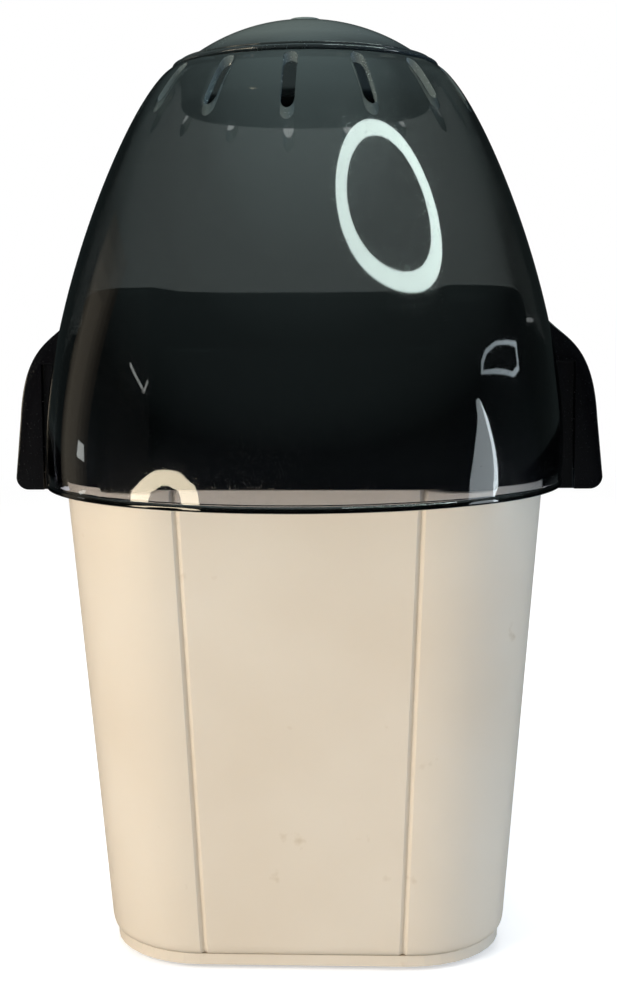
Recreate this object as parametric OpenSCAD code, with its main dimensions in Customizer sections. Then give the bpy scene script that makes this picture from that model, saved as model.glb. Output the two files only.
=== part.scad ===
// Hot-air popcorn maker: a tapered body with motor, fan, heater and popping chamber inside,
// a chute deck with two side grips, and a lift-off hood that carries a measuring cup with a cap.
// Millimetres. The table is z = 0, the popping chamber's axis is x = y = 0, the front faces -Y.

/* [Body] */
// Width of the body at its top edge
body_w = 145.2; // [140:0.2:150]
// Depth of the body at its top edge
body_d = 133; // [126:0.5:137]
// Height of the body's top edge above the table
body_top = 148; // [144:0.5:156]
// Height of the body's bottom edge above the table
body_bottom = 5; // [4.6:0.1:7]
// Draft of the body's walls, in degrees
body_draft = 4.2; // [3:0.1:5.4]
// Radius of the body's upright corners at the top edge
body_corner_r = 35.8; // [30:0.2:40]
// Wall thickness of the body
body_wall = 2.4; // [1.8:0.1:3]
// Width of the four moulded grooves
groove_w = 1.8; // [1.2:0.1:2.6]
// Depth of the four moulded grooves
groove_d = 1; // [0.5:0.1:1.4]

/* [Base plate] */
// Height of the base plate's underside above the table
plate_lift = 1.6; // [1:0.1:2.4]
// Thickness of the base plate's floor
plate_t = 2.4; // [1.8:0.1:2.6]
// How far the base plate's edge stands back from the body
plate_inset = 1.4; // [0.6:0.1:2.4]
// Height of the spigot that centres the plate in the body
spigot_h = 4; // [3:0.5:8]
// Thickness of the spigots' walls
spigot_t = 1.8; // [1.4:0.1:2.4]
// Radius of the intake grille
grille_r = 36; // [30:1:38]
// Width of the intake grille's slots
grille_slot = 3.2; // [2.4:0.1:4]
// Number of slot rings in the grille
grille_rings = 5; // [3:1:5]
// Radius of a foot pad
foot_r = 6.5; // [5:0.1:8]
// Depth of a foot pad's pocket
foot_pocket = 1; // [0.6:0.1:1.4]
// Radius of a base screw's shank
base_screw_r = 1.7; // [1.4:0.05:2]
// Length of a base screw under its head
base_screw_len = 16; // [12:1:20]
// Radius of a screw boss in the body
base_boss_r = 4.2; // [3.8:0.1:4.8]
// Distance of a base screw from the middle line
base_screw_y = 17; // [12:0.5:20]

/* [Top housing] */
// Height of the top housing's deck above the body's top edge
deck_h = 57; // [53:0.5:61]
// Draft of the top housing's walls, in degrees
deck_draft = 6.4; // [5.8:0.1:7.4]
// Wall thickness of the top housing
deck_wall = 2.4; // [2:0.1:3]
// Radius of the deck's rounded edge
deck_round = 5; // [3:0.5:6]
// How much wider the throat's radius is than the chamber's
throat_step = 1.5; // [0.6:0.1:2.4]
// Depth of the throat below the deck
throat_drop = 20; // [18:0.5:22]
// Half width of the chute
chute_half = 42; // [40:0.5:43]
// Depth of the chute's lip in front of the throat
chute_lip = 9.5; // [9:0.1:11.5]
// Height of the bead at the foot of the chute
chute_bead = 2; // [1:0.1:4]
// Depth of the skirt that laps over the body
skirt_drop = 4.6; // [3.6:0.1:6]
// Thickness of the skirt
skirt_t = 2.1; // [1.6:0.1:2.2]
// Thickness of the ledge that the hood stands on
ledge_t = 2.4; // [1.8:0.1:3]

/* [Grips] */
// Overhang of a grip past the body's side
grip_reach = 21.8; // [20:0.2:26]
// Width of a grip
grip_w = 42; // [36:0.5:46]
// Distance of the grips' middle behind the axis
grip_y = 12; // [8:0.5:14]
// Depth of the grips' lower edge below the body's top edge
grip_drop = 6.5; // [5.5:0.5:8]
// Height of the grips' upper edge above the body's top edge
grip_rise = 47; // [42:0.5:50]
// Wall thickness of a grip
grip_wall = 3; // [2.4:0.1:3.4]
// Depth of the step beside a grip's fin
grip_step = 1.6; // [0.8:0.1:2.2]

/* [Chamber] */
// Inside radius of the popping chamber
chamber_r = 41; // [39:0.25:41.2]
// Wall thickness of the popping chamber
chamber_t = 0.8; // [0.6:0.05:1]
// Height of the chamber floor's edge above the table
chamber_floor_z = 106; // [104:0.5:112]
// Rise of the chamber's domed floor
floor_rise = 5; // [3:0.25:7]
// Width of the chamber's flange
flange_w = 6.7; // [6.3:0.1:7]
// Number of louvres
louvre_n = 18; // [12:1:20]
// Length of a louvre
louvre_len = 15; // [10:0.5:18]
// Width of a louvre's opening
louvre_w = 2.6; // [1.8:0.1:3.2]
// Lean of the louvres, in degrees
louvre_lean = 32; // [20:1:40]
// Thickness of the chamber's gasket
gasket_t = 1.6; // [1:0.1:2]
// Distance of the chamber's screws outside the duct
chamber_screw_out = 9.7; // [9.2:0.1:10.7]
// Radius of a chamber screw's shank
chamber_screw_r = 1.5; // [1.2:0.05:1.8]
// Length of a chamber screw under its head
chamber_screw_len = 10; // [8:0.5:14]

/* [Heater] */
// Width of the air gap between the chamber and the duct
duct_gap = 4.7; // [3.7:0.1:5]
// Wall thickness of the air duct
duct_t = 0.8; // [0.6:0.05:1]
// Thickness of a mica plate
mica_t = 0.8; // [0.6:0.1:1.4]
// Height of the mica frame
mica_h = 17; // [16:0.5:17.5]
// Outer radius of the heater coil's winding
coil_r = 2.6; // [1.8:0.1:3]
// Radius of the larger coil ring
coil_ring_1 = 37; // [35:0.5:39]
// Radius of the smaller coil ring
coil_ring_2 = 26; // [24:0.5:28]
// Radius of the thermostat
thermostat_r = 7.5; // [6:0.25:9]
// Height of the thermostat
thermostat_h = 6; // [4:0.25:6.5]

/* [Fan and motor] */
// Height of the fan housing's floor
fan_z = 56; // [54:0.5:60]
// Height of the fan housing
fan_h = 26; // [25:0.5:28]
// Wall thickness of the fan housing
fan_wall = 2; // [1.6:0.1:2.4]
// Radius of the impeller
impeller_r = 39.5; // [36:0.5:42]
// Height of an impeller blade
blade_h = 13; // [10:0.5:14]
// Number of impeller blades
blade_n = 14; // [8:1:18]
// Thickness of an impeller blade
blade_t = 1.2; // [0.9:0.1:1.6]
// Radius of the motor shaft
shaft_r = 1.6; // [1.4:0.05:2]
// Radius of the motor
motor_r = 15; // [14:0.25:17]
// Length of the motor can
motor_len = 34; // [30:0.5:35]
// Wall thickness of the motor can
motor_wall = 1; // [0.8:0.05:1.3]
// Radius of the armature
armature_r = 9.5; // [8:0.25:10]

/* [Switch and cord inlet] */
// Height of the switch's middle above the table
switch_z = 40; // [36:0.5:42]
// Width of the switch's opening
switch_w = 19.2; // [18:0.1:21]
// Height of the switch's opening
switch_h = 13; // [12:0.1:14]
// Depth of the switch behind the wall
switch_deep = 14; // [11:0.5:16]
// Angle that the rocker tilts through, in degrees
rocker_travel = 16; // [10:1:18]
// Distance of the cord gland from the middle line
gland_x = 18; // [16:0.5:19]
// Height of the cord gland's middle above the table
gland_z = 24; // [22:0.5:30]
// Radius of the cord gland's bore
gland_bore_r = 3.6; // [3:0.1:4]
// Radius of the cord gland's flange
gland_flange_r = 9; // [8.5:0.1:10]

/* [Hood] */
// How far the hood's rim stands out past the body's sides
hood_out = 5.6; // [5.2:0.1:6.4]
// Height of the hood's rim above the body's top edge, negative when it hangs below
hood_rim_dz = -2; // [-2.4:0.1:-1.8]
// Height of the hood's top edge above the deck
hood_h = 68.5; // [63:0.5:75]
// Width of the hood's top edge round the cup
mouth_edge = 2.7; // [1.6:0.1:3.2]
// Fullness of the hood's sides above the rim
hood_full = 6; // [3:0.2:7]
// How far the hood's shoulder pulls out past its top edge
hood_shoulder = 15.5; // [14.5:0.1:16.5]
// Reach of the hood's front beyond a half round
hood_front = 26; // [20:0.5:30]
// How far the hood's rim stands out past the body's back
hood_behind = 7.7; // [7.3:0.1:8.7]
// Corner radius at the hood's back, on the rim
hood_corner_r = 38; // [34:0.5:42]
// Wall thickness of the hood
hood_wall = 2.2; // [1.6:0.1:2.3]
// Thickness of the hood's rim bead
hood_rim_t = 3.2; // [2.8:0.1:3.4]
// Height of the hood's rim bead
hood_rim_h = 2.6; // [2:0.1:3.4]
// Number of vent slots
vent_n = 15; // [10:1:16]
// Turn of the vent slots from the front, in degrees
vent_turn = -3.4; // [-12:0.2:12]
// Width of a vent slot
vent_w = 4.3; // [3.4:0.1:5]
// Distance of the vent slots from the hood's top edge
vent_gap = 1.6; // [1.4:0.1:4]
// Length of a vent slot at the back
vent_len = 8.4; // [7:0.2:11]
// How much longer the foremost vent slot is
vent_longer = 8; // [0:0.5:10]

/* [Cup and cap] */
// Outside radius of the measuring cup
cup_r = 39.6; // [38.8:0.1:40]
// Depth of the measuring cup
cup_depth = 13; // [11:0.5:17]
// Wall thickness of the cup
cup_wall = 1.6; // [1.2:0.1:2]
// Width of the cup's flange outside the cup
cup_flange_w = 2.4; // [1.8:0.1:2.8]
// Thickness of the cup's flange
cup_flange_t = 1.4; // [1.2:0.1:2.4]
// How far the cap's edge stands out past the cup
cap_out = 0.4; // [0:0.1:1.6]
// Thickness of the cap's edge
cap_edge = 1; // [0.8:0.1:1.6]
// Radius of the cap's dome, as a ball
dome_r = 62; // [60:0.5:90]
// Wall thickness of the cap
cap_wall = 1.8; // [1.4:0.1:2.2]
// Radius of the flat pad on the dome
pad_r = 5; // [3.5:0.25:7]
// Height of the flat pad on the dome
pad_h = 0.8; // [0.4:0.1:1.4]

/* [Clearances] */
// Gap under a piece that lifts off
lift_gap = 0.2; // [0.1:0.05:0.3]
// Radial gap round a spigot that slides in
slide_gap = 0.3; // [0.2:0.05:0.4]
// Gap between a grip and the notch in the hood
notch_gap = 1.2; // [0.8:0.1:2]
// Radial gap between a turning shaft or pin and its bearing
run_gap = 0.05; // [0.03:0.01:0.08]
// Radial gap between a screw or coil and its hole
hole_gap = 0.1; // [0.05:0.05:0.25]

/* [Hidden] */
$fn = 96;

// Sizes that follow from the ones above.
deck_z = body_top + deck_h;
throat_r = chamber_r + throat_step;
throat_z = deck_z - throat_drop;
chute_lip_y = throat_r + chute_lip;
duct_r = chamber_r + chamber_t + duct_gap;
chamber_screw_at = duct_r + duct_t + chamber_screw_out;
grip_bottom = body_top - grip_drop;
grip_top = body_top + grip_rise;
hood_w = body_w + 2 * hood_out;
hood_back = (hood_w - body_d) / 2 - hood_behind;
hood_top = deck_z + hood_h;
hood_mouth_r = cup_r + slide_gap;
hood_top_r = hood_mouth_r + mouth_edge;
vent_in = hood_top_r + vent_gap;
cup_flange_r = cup_r + cup_flange_w;
cap_r = cup_r + cap_out;

cut = 1;          // overrun of a cutting tool past the face that it opens
far = 200;        // half size of a tool that trims one side away

// ---------------------------------------------------------------- points and lofts

// Points of an arc from angle a0 to a1, in n steps.
function arc_points(cx, cy, r, a0, a1, n) =
    [for (i = [0 : n]) let (a = a0 + (a1 - a0) * i / n) [cx + r * cos(a), cy + r * sin(a)]];

function flatten(lists) = [for (l = lists) each l];

function bezier(p, t) =
    pow(1 - t, 3) * p[0] + 3 * pow(1 - t, 2) * t * p[1] + 3 * (1 - t) * t * t * p[2] + pow(t, 3) * p[3];

function bezier_slope(p, t) =
    3 * pow(1 - t, 2) * (p[1] - p[0]) + 6 * (1 - t) * t * (p[2] - p[1]) + 3 * t * t * (p[3] - p[2]);

function mix(a, b, t) = a + (b - a) * t;

// One ring of a loft: an outline lifted to height z.
function ring(outline, z) = [for (p = outline) [p[0], p[1], z]];

// Side faces between ring i and ring j, with n points each, seen from outside.
function band(i, j, n) =
    [for (k = [0 : n - 1]) let (m = (k + 1) % n)
        each [[i * n + k, j * n + k, j * n + m], [i * n + k, j * n + m, i * n + m]]];

// A solid through rings stacked upwards, closed by a fan at each end.
module loft(rings) {
    n = len(rings[0]);
    last = len(rings) - 1;
    middles = [for (r = [rings[0], rings[last]]) [0, 0, r[0][2]]];
    bottom = (last + 1) * n;
    polyhedron(
        points = concat(flatten(rings), middles),
        faces = concat(
            [for (i = [0 : last - 1]) each band(i, i + 1, n)],
            [for (k = [0 : n - 1]) [bottom, k, (k + 1) % n]],
            [for (k = [0 : n - 1]) [bottom + 1, last * n + (k + 1) % n, last * n + k]]));
}

// A closed skin through rings that run up the outside and down the inside.
module loft_skin(rings) {
    n = len(rings[0]);
    last = len(rings) - 1;
    polyhedron(
        points = flatten(rings),
        faces = [for (i = [0 : last]) each band(i, (i + 1) % (last + 1), n)]);
}

module tube(r_out, r_in, h) {
    difference() {
        cylinder(r = r_out, h = h);
        translate([0, 0, -cut]) cylinder(r = r_in, h = h + 2 * cut);
    }
}

module mirror_x() {
    children();
    mirror([1, 0, 0]) children();
}

module four_corners() {
    mirror_x() {
        children();
        mirror([0, 1, 0]) children();
    }
}

// ---------------------------------------------------------------- body outline

function body_scale(z) = (body_w / 2 - (body_top - z) * tan(body_draft)) / (body_w / 2);
function body_hw(z) = body_w / 2 - (body_top - z) * tan(body_draft);
function body_hd(z) = body_d / 2 - (body_top - z) * tan(body_draft);
function body_cr(z) = body_corner_r * body_scale(z);

corner_steps = 9;

// A V cut across a wall at (x, y), with side = 1 at the back and -1 at the front.
function groove_points(x, y, side, deep) =
    [[x + side * groove_w / 2, y], [x, y - side * deep], [x - side * groove_w / 2, y]];

// Outline with upright corners and four places for grooves; deep = 0 leaves the walls flat.
function box_outline(hw, hd, r, deep) =
    let (cx = hw - r, cy = hd - r, gx = cx - groove_w / 2 - 0.3)
    concat(
        arc_points(cx, cy, r, 0, 90, corner_steps),
        groove_points(gx, hd, 1, deep),
        groove_points(-gx, hd, 1, deep),
        arc_points(-cx, cy, r, 90, 180, corner_steps),
        arc_points(-cx, -cy, r, 180, 270, corner_steps),
        groove_points(-gx, -hd, -1, deep),
        groove_points(gx, -hd, -1, deep),
        arc_points(cx, -cy, r, 270, 360, corner_steps));

// The same outline without grooves, for plates and spigots.
function plain_outline(hw, hd, r) =
    concat(
        arc_points(hw - r, hd - r, r, 0, 90, corner_steps),
        arc_points(-(hw - r), hd - r, r, 90, 180, corner_steps),
        arc_points(-(hw - r), -(hd - r), r, 180, 270, corner_steps),
        arc_points(hw - r, -(hd - r), r, 270, 360, corner_steps));

function body_ring(z, inset, deep) =
    ring(box_outline(body_hw(z) - inset, body_hd(z) - inset, body_cr(z) - inset, deep), z);

// The body's outline at height z, moved in by inset.
function body_plain(z, inset) =
    plain_outline(body_hw(z) - inset, body_hd(z) - inset, body_cr(z) - inset);

// ---------------------------------------------------------------- base values

plate_top = plate_lift + plate_t;
spigot_top = body_bottom + spigot_h;
spigot_in = body_wall + slide_gap + spigot_t;
boss_x = body_hw(body_bottom) - spigot_in - base_boss_r - slide_gap;
boss_len = base_screw_len + 3;
base_head_r = base_screw_r * 1.9;
base_head_h = 1.8;
base_head_sink = plate_lift + 0.4;
foot_diag = (body_cr(body_bottom) - plate_inset - 3 - foot_r) / sqrt(2);
foot_x = body_hw(body_bottom) - body_cr(body_bottom) + foot_diag;
foot_y = body_hd(body_bottom) - body_cr(body_bottom) + foot_diag;

// Puts children on the outside of the back wall at height z, with their +Z pointing out.
module on_back_wall(x, z) {
    translate([x, body_hd(z), z]) rotate([-90 - body_draft, 0, 0]) rotate([0, 0, 180]) children();
}

module body_shell() {
    edge = 1.4;
    color("antiquewhite") difference() {
        union() {
            difference() {
                loft([
                    body_ring(body_bottom, edge * 0.6, groove_d),
                    body_ring(body_bottom + edge * 0.4, edge * 0.15, groove_d),
                    body_ring(body_bottom + edge, 0, groove_d),
                    body_ring(body_top, 0, groove_d)]);
                loft([
                    body_ring(body_bottom - cut, body_wall, 0),
                    body_ring(body_top + cut, body_wall, 0)]);
            }
            four_corners() base_boss();
        }
        four_corners() translate([boss_x, base_screw_y, spigot_top - cut])
            cylinder(r = base_screw_r + hole_gap, h = boss_len - 2 + cut, $fn = 48);
        on_back_wall(0, switch_z) cube([switch_w, switch_h, 4 * body_wall], center = true);
        on_back_wall(gland_x, gland_z) translate([0, 0, -3 * body_wall])
            cylinder(r = gland_neck_r + hole_gap, h = 6 * body_wall, $fn = 64);
    }
}

// A screw boss, tied to the side wall by a web that leans with it.
module base_boss() {
    web_t = 1.8;
    web_top = spigot_top + boss_len * 0.8;
    translate([boss_x, base_screw_y, spigot_top]) cylinder(r = base_boss_r, h = boss_len, $fn = 48);
    translate([boss_x, base_screw_y + web_t / 2, 0]) rotate([90, 0, 0]) linear_extrude(web_t)
        polygon([
            [0, spigot_top],
            [body_hw(spigot_top) - body_wall / 2 - boss_x, spigot_top],
            [body_hw(web_top) - body_wall / 2 - boss_x, web_top],
            [0, web_top]]);
}

module base_plate() {
    color("antiquewhite") difference() {
        union() {
            translate([0, 0, plate_lift]) linear_extrude(body_bottom - plate_lift)
                polygon(body_plain(body_bottom, plate_inset));
            translate([0, 0, body_bottom]) linear_extrude(spigot_h)
                polygon(body_plain(body_bottom, body_wall + slide_gap));
        }
        difference() {
            translate([0, 0, plate_top]) linear_extrude(spigot_h + body_bottom)
                polygon(body_plain(body_bottom, spigot_in));
            four_corners() translate([boss_x, base_screw_y, 0]) cylinder(r = base_boss_r, h = spigot_top, $fn = 48);
        }
        four_corners() translate([boss_x, base_screw_y, 0]) {
            cylinder(r = base_screw_r + hole_gap, h = far, $fn = 48);
            cylinder(r = base_head_r + hole_gap, h = base_head_sink + base_head_h, $fn = 48);
        }
        four_corners() translate([foot_x, foot_y, 0])
            cylinder(r = foot_r + hole_gap, h = plate_lift + foot_pocket, $fn = 64);
        translate([0, 0, plate_lift - cut]) linear_extrude(plate_t + 2 * cut) grille_slots();
    }
}

// Rings of slots with spokes between them.
module grille_slots() {
    spoke_w = 3;
    spokes = 6;
    pitch = grille_r / (grille_rings + 0.6);
    difference() {
        union() for (i = [1 : grille_rings]) difference() {
            circle(r = i * pitch + grille_slot / 2, $fn = 72);
            circle(r = i * pitch - grille_slot / 2, $fn = 72);
        }
        for (i = [0 : spokes / 2 - 1]) rotate(i * 360 / spokes)
            square([3 * grille_r, spoke_w], center = true);
    }
}

module foot_pads() {
    color("dimgray") four_corners() translate([foot_x, foot_y, 0]) difference() {
        cylinder(r = foot_r, h = plate_lift + foot_pocket, $fn = 64);
        translate([0, 0, -cut]) cylinder(r = foot_r / 2.4, h = cut + 0.8, $fn = 48);
    }
}

// A pan-head screw pointing up, with its head's underside at z = 0.
module screw(r, len, head_r, head_h) {
    difference() {
        union() {
            cylinder(r = r, h = len, $fn = 48);
            translate([0, 0, -head_h]) cylinder(r = head_r, h = head_h, $fn = 48);
        }
        for (a = [0, 90]) rotate(a) translate([-head_r * 0.6, -head_r * 0.14, -head_h - cut])
            cube([head_r * 1.2, head_r * 0.28, head_h * 0.5 + cut]);
    }
}

module base_screws() {
    color("silver") four_corners() translate([boss_x, base_screw_y, base_head_sink + base_head_h])
        screw(base_screw_r, base_screw_len, base_head_r, base_head_h);
}

// ---------------------------------------------------------------- top housing

function deck_in(z) = (z - body_top) * tan(deck_draft);
function deck_ring(z, inset) =
    let (i = deck_in(z) + inset)
    ring(plain_outline(body_w / 2 - i, body_d / 2 - i, body_corner_r - i / 3), z);

skirt_z = body_top - skirt_drop;
ledge_y = -20;
skirt_top = body_top + 2;
throat_top = deck_z + cut;
chute_lip_z = throat_z + deck_wall;
flange_z = throat_z - gasket_t;
boss_a = 30;
chamber_boss_r = chamber_screw_r + 2.3;

module chute_profile() {
    front = body_d / 2 - 1;
    polygon([
        [-far, body_top + chute_bead],
        [-front, body_top + chute_bead],
        [-chute_lip_y, chute_lip_z - 1],
        [-chute_lip_y + 1.4, chute_lip_z],
        [0, chute_lip_z],
        [0, throat_top + 10],
        [-far, throat_top + 10]]);
}

// The channel that the popped corn leaves by, open above and in front.
module chute_space(half) {
    rotate([90, 0, 90]) translate([0, 0, -half]) linear_extrude(2 * half) chute_profile();
}

module chamber_screw_places() {
    four_corners() rotate(boss_a) translate([chamber_screw_at, 0, 0]) children();
}

module top_housing() {
    color([0.05, 0.05, 0.06]) difference() {
        union() {
            difference() {
                deck_solid(0);
                difference() {
                    deck_solid(deck_wall);
                    translate([0, 0, throat_z]) cylinder(r = throat_r + deck_wall, h = far);
                    translate([0, deck_wall, -deck_wall]) chute_space(chute_half + deck_wall);
                    translate([0, 0, throat_z]) chamber_screw_places() cylinder(r = chamber_boss_r, h = far, $fn = 48);
                }
            }
            skirt();
            deck_spigot();
        }
        translate([0, 0, throat_z - cut]) cylinder(r = throat_r, h = far);
        chute_space(chute_half);
        chamber_screw_places() translate([0, 0, throat_z - cut])
            cylinder(r = chamber_screw_r + hole_gap, h = chamber_screw_len - flange_z + throat_z + cut, $fn = 48);
    }
}

// The deck as a solid, or its hollow when inset is the wall.
module deck_solid(inset) {
    low = inset > 0 ? body_top - cut : body_top;
    loft([
        deck_ring(low, inset),
        deck_ring(deck_z - deck_round, inset),
        deck_ring(deck_z - deck_round * 0.5 - inset * 0.5, inset + deck_round * 0.13),
        deck_ring(deck_z - deck_round * 0.13 - inset, inset + deck_round * 0.5),
        deck_ring(deck_z - inset, inset + deck_round)]);
}

// A skirt and a ledge outside the body, along the sides and the back.
module skirt() {
    translate([0, 0, skirt_z]) {
        linear_extrude(ledge_t) difference() {
            polygon(hood_outline(0, 0.8));
            polygon(body_plain(body_top, -hole_gap));
            translate([-far, ledge_y - 2 * far]) square(2 * far);
        }
        linear_extrude(skirt_top - skirt_z) difference() {
            polygon(body_plain(body_top, -hole_gap - skirt_t));
            polygon(body_plain(body_top, -hole_gap));
            translate([-far, ledge_y - 2 * far]) square(2 * far);
        }
    }
    translate([0, 0, body_top]) linear_extrude(skirt_top - body_top) difference() {
        polygon(body_plain(body_top, -hole_gap - skirt_t));
        polygon(body_plain(body_top, deck_wall));
        translate([-far, ledge_y - 2 * far]) square(2 * far);
    }
}

// A spigot that drops inside the body's top edge.
module deck_spigot() {
    deep = 5;
    outer = body_wall + slide_gap + deep * tan(body_draft);
    translate([0, 0, body_top - deep]) linear_extrude(deep + 1) difference() {
        polygon(body_plain(body_top, outer));
        polygon(body_plain(body_top, outer + spigot_t));
    }
}

// ---------------------------------------------------------------- grips

deck_side = body_w / 2 - deck_in(skirt_top);
ledge_x = hood_w / 2 - 0.8;
grip_out = body_w / 2 + grip_reach;
grip_in = ledge_x + slide_gap;
grip_lean = 2;        // how far a grip's outer face leans in
grip_crown = 30;      // depth of a grip's rounded top
grip_roof = 12;       // material above the finger pocket
grip_low_r = 4;       // radius of a grip's lower corner

// Outer face of a grip, from its top down to its lower corner.
function grip_curve(dx) =
    let (p = [
        [grip_in - 1 - dx, grip_top - dx],
        [grip_in + 5 - dx, grip_top - 6 - dx],
        [grip_out - grip_lean - 1.6 - dx, grip_top - 8 - dx],
        [grip_out - grip_lean - dx, grip_top - grip_crown - dx]])
    [for (i = [0 : 10]) bezier(p, i / 10)];

module grip_section() {
    top_z = grip_top - 5;
    polygon(concat(
        [[body_w / 2 - deck_in(top_z), top_z]],
        grip_curve(0),
        arc_points(grip_out - grip_low_r, grip_bottom + grip_low_r, grip_low_r, 0, -90, 5),
        [[grip_in, grip_bottom], [grip_in, skirt_top + hole_gap],
         [body_w / 2 - deck_in(skirt_top + hole_gap), skirt_top + hole_gap]]));
}

// The finger pocket, open below.
module grip_pocket() {
    low = grip_bottom - cut;
    polygon(concat(
        [[grip_in + grip_wall, grip_top - 1.5 * grip_roof]],
        [for (p = grip_curve(grip_wall)) if (p[0] > grip_in + grip_wall && p[1] < grip_top - grip_roof) p],
        [[grip_out - grip_wall, grip_bottom + 6], [grip_out - grip_wall, low], [grip_in + grip_wall, low]]));
}

module extrude_across(width) {
    translate([0, grip_y, 0]) rotate([90, 0, 0]) linear_extrude(width, center = true) children();
}

module grip() {
    fin_x = grip_in + (grip_out - grip_in) * 0.45;
    color([0.05, 0.05, 0.06]) difference() {
        extrude_across(grip_w) grip_section();
        extrude_across(grip_w - 2 * grip_wall - 2 * grip_step) grip_pocket();
        for (side = [-1, 1]) translate([0, grip_y + side * grip_w / 2, grip_bottom - cut])
            translate([grip_in - cut, -grip_step, 0])
                cube([fin_x - grip_in + cut, 2 * grip_step, grip_top - grip_roof - grip_bottom]);
    }
}

module right_grip() {
    grip();
}

module left_grip() {
    mirror([1, 0, 0]) grip();
}

// ---------------------------------------------------------------- popping chamber

chamber_out = chamber_r + chamber_t;
flange_r = chamber_out + flange_w;
ear_r = chamber_screw_r + 2.3;
floor_ball = (chamber_out * chamber_out + floor_rise * floor_rise) / (2 * floor_rise);
floor_top = chamber_floor_z + floor_rise;
louvre_z = chamber_floor_z + 5 + louvre_len / 2;

module flange_shape(r_in) {
    difference() {
        union() {
            circle(r = flange_r);
            for (m = [0, 1]) mirror([m, 0]) for (a = [-boss_a, boss_a])
                rotate(a) hull() {
                    translate([chamber_screw_at, 0]) circle(r = ear_r, $fn = 32);
                    translate([flange_r - 6, 0]) circle(r = ear_r, $fn = 32);
                }
        }
        circle(r = r_in);
    }
}

module louvre_places() {
    for (i = [0 : louvre_n - 1]) rotate(i * 360 / louvre_n) translate([chamber_out, 0, louvre_z])
        rotate([louvre_lean, 0, 0]) children();
}

module popping_chamber() {
    color("silver") difference() {
        union() {
            translate([0, 0, chamber_floor_z - 2]) tube(chamber_out, chamber_r, flange_z - chamber_floor_z + 2);
            translate([0, 0, flange_z - chamber_t]) linear_extrude(chamber_t) flange_shape(chamber_r);
            chamber_floor();
            louvre_places() translate([-chamber_t - 2.2, louvre_w / 2, -louvre_len / 2])
                rotate([0, 0, -24]) cube([3.2, chamber_t, louvre_len]);
        }
        louvre_places() cube([4, louvre_w, louvre_len], center = true);
        translate([0, 0, flange_z - chamber_t - cut]) chamber_screw_places()
            cylinder(r = chamber_screw_r + hole_gap, h = chamber_t + 2 * cut, $fn = 48);
    }
}

// The floor is a shallow dome, so that the corn rolls out to the louvres.
module chamber_floor() {
    translate([0, 0, floor_top - floor_ball]) intersection() {
        difference() {
            sphere(r = floor_ball);
            sphere(r = floor_ball - chamber_t);
        }
        translate([0, 0, floor_ball - floor_rise - 2 * chamber_t]) cylinder(r = chamber_r + chamber_t / 2, h = far);
    }
}

module chamber_gasket() {
    color("firebrick") translate([0, 0, flange_z]) linear_extrude(gasket_t)
        difference() {
            circle(r = throat_r + deck_wall);
            circle(r = throat_r);
        }
}

module chamber_screws() {
    color("silver") chamber_screw_places() translate([0, 0, flange_z - chamber_t])
        screw(chamber_screw_r, chamber_screw_len, chamber_screw_r * 1.8, 1.6);
}

// ---------------------------------------------------------------- duct and heater

duct_z = fan_z + fan_h;
mica_z = duct_z + 0.4;
mica_top = mica_z + mica_h;
mica_reach = duct_r - slide_gap;
coil_z_1 = mica_z + 0.3 * mica_h;
coil_z_2 = mica_z + 0.7 * mica_h;
coil_notch = 10 * mica_t;

module air_duct() {
    bead = 1.2;
    color("lightgray") translate([0, 0, duct_z]) {
        tube(duct_r + duct_t, duct_r, flange_z - chamber_t - duct_z);
        translate([0, 0, 14]) tube(duct_r + duct_t + bead, duct_r, 2 * bead);
    }
}

module mica_plate() {
    translate([-mica_reach, -mica_t / 2, mica_z]) cube([2 * mica_reach, mica_t, mica_h]);
}

module coil_hole(r, z) {
    translate([r, far / 2, z]) rotate([90, 0, 0]) cylinder(r = coil_r + hole_gap, h = far, $fn = 48);
}

module mica_frame() {
    color("wheat") difference() {
        union() for (a = [0, 90]) rotate(a) mica_plate();
        for (a = [0 : 90 : 270]) rotate(a) intersection() {
            union() {
                coil_hole(coil_ring_1, coil_z_1);
                coil_hole(coil_ring_2, coil_z_2);
            }
            translate([0, -coil_notch / 2, 0]) cube([far, coil_notch, far]);
        }
        translate([0, 0, mica_top - thermostat_h]) cylinder(r = thermostat_r + 2, h = thermostat_h + cut);
    }
}

module heater_coils() {
    color("peru") {
        translate([0, 0, coil_z_1]) rotate_extrude() translate([coil_ring_1, 0]) circle(r = coil_r, $fn = 32);
        translate([0, 0, coil_z_2]) rotate_extrude() translate([coil_ring_2, 0]) circle(r = coil_r, $fn = 32);
    }
}

module thermostat() {
    under = floor_ball - chamber_t;
    sag = under - sqrt(under * under - thermostat_r * thermostat_r);
    tab = [2.4, 0.8, 5];
    color("gainsboro") translate([0, 0, floor_top - chamber_t - sag - run_gap - thermostat_h]) {
        cylinder(r = thermostat_r, h = thermostat_h);
        for (side = [-1, 1]) translate([side * thermostat_r * 0.43 - tab[0] / 2, -tab[1] / 2, -tab[2]]) cube(tab);
    }
}

module thermal_fuse() {
    r = 1.9;
    color("white") translate([duct_r * 0.6, 0, mica_top + r]) rotate([0, 90, 0]) {
        cylinder(r = r, h = 10, center = true, $fn = 48);
        cylinder(r = 0.5, h = 18, center = true, $fn = 24);
    }
}

// ---------------------------------------------------------------- fan and motor

fan_out = duct_r + duct_t + 1.6;
mount_r = motor_r + 2;
inlet_r = impeller_r - 8;
hub_r = 5;
motor_top = fan_z;
motor_low = motor_top - motor_len;
impeller_z = fan_z + fan_wall + 3.4;
plate_z = impeller_z + blade_h;
shaft_top = plate_z + 4;
cap_t = motor_len * 0.07;
shaft_low = motor_low - 1;
bush_r = shaft_r + 2.4;
bush_h = motor_len * 0.15;
motor_screw_at = motor_r - 5.5;
motor_screw_r = 1.25;

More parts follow.
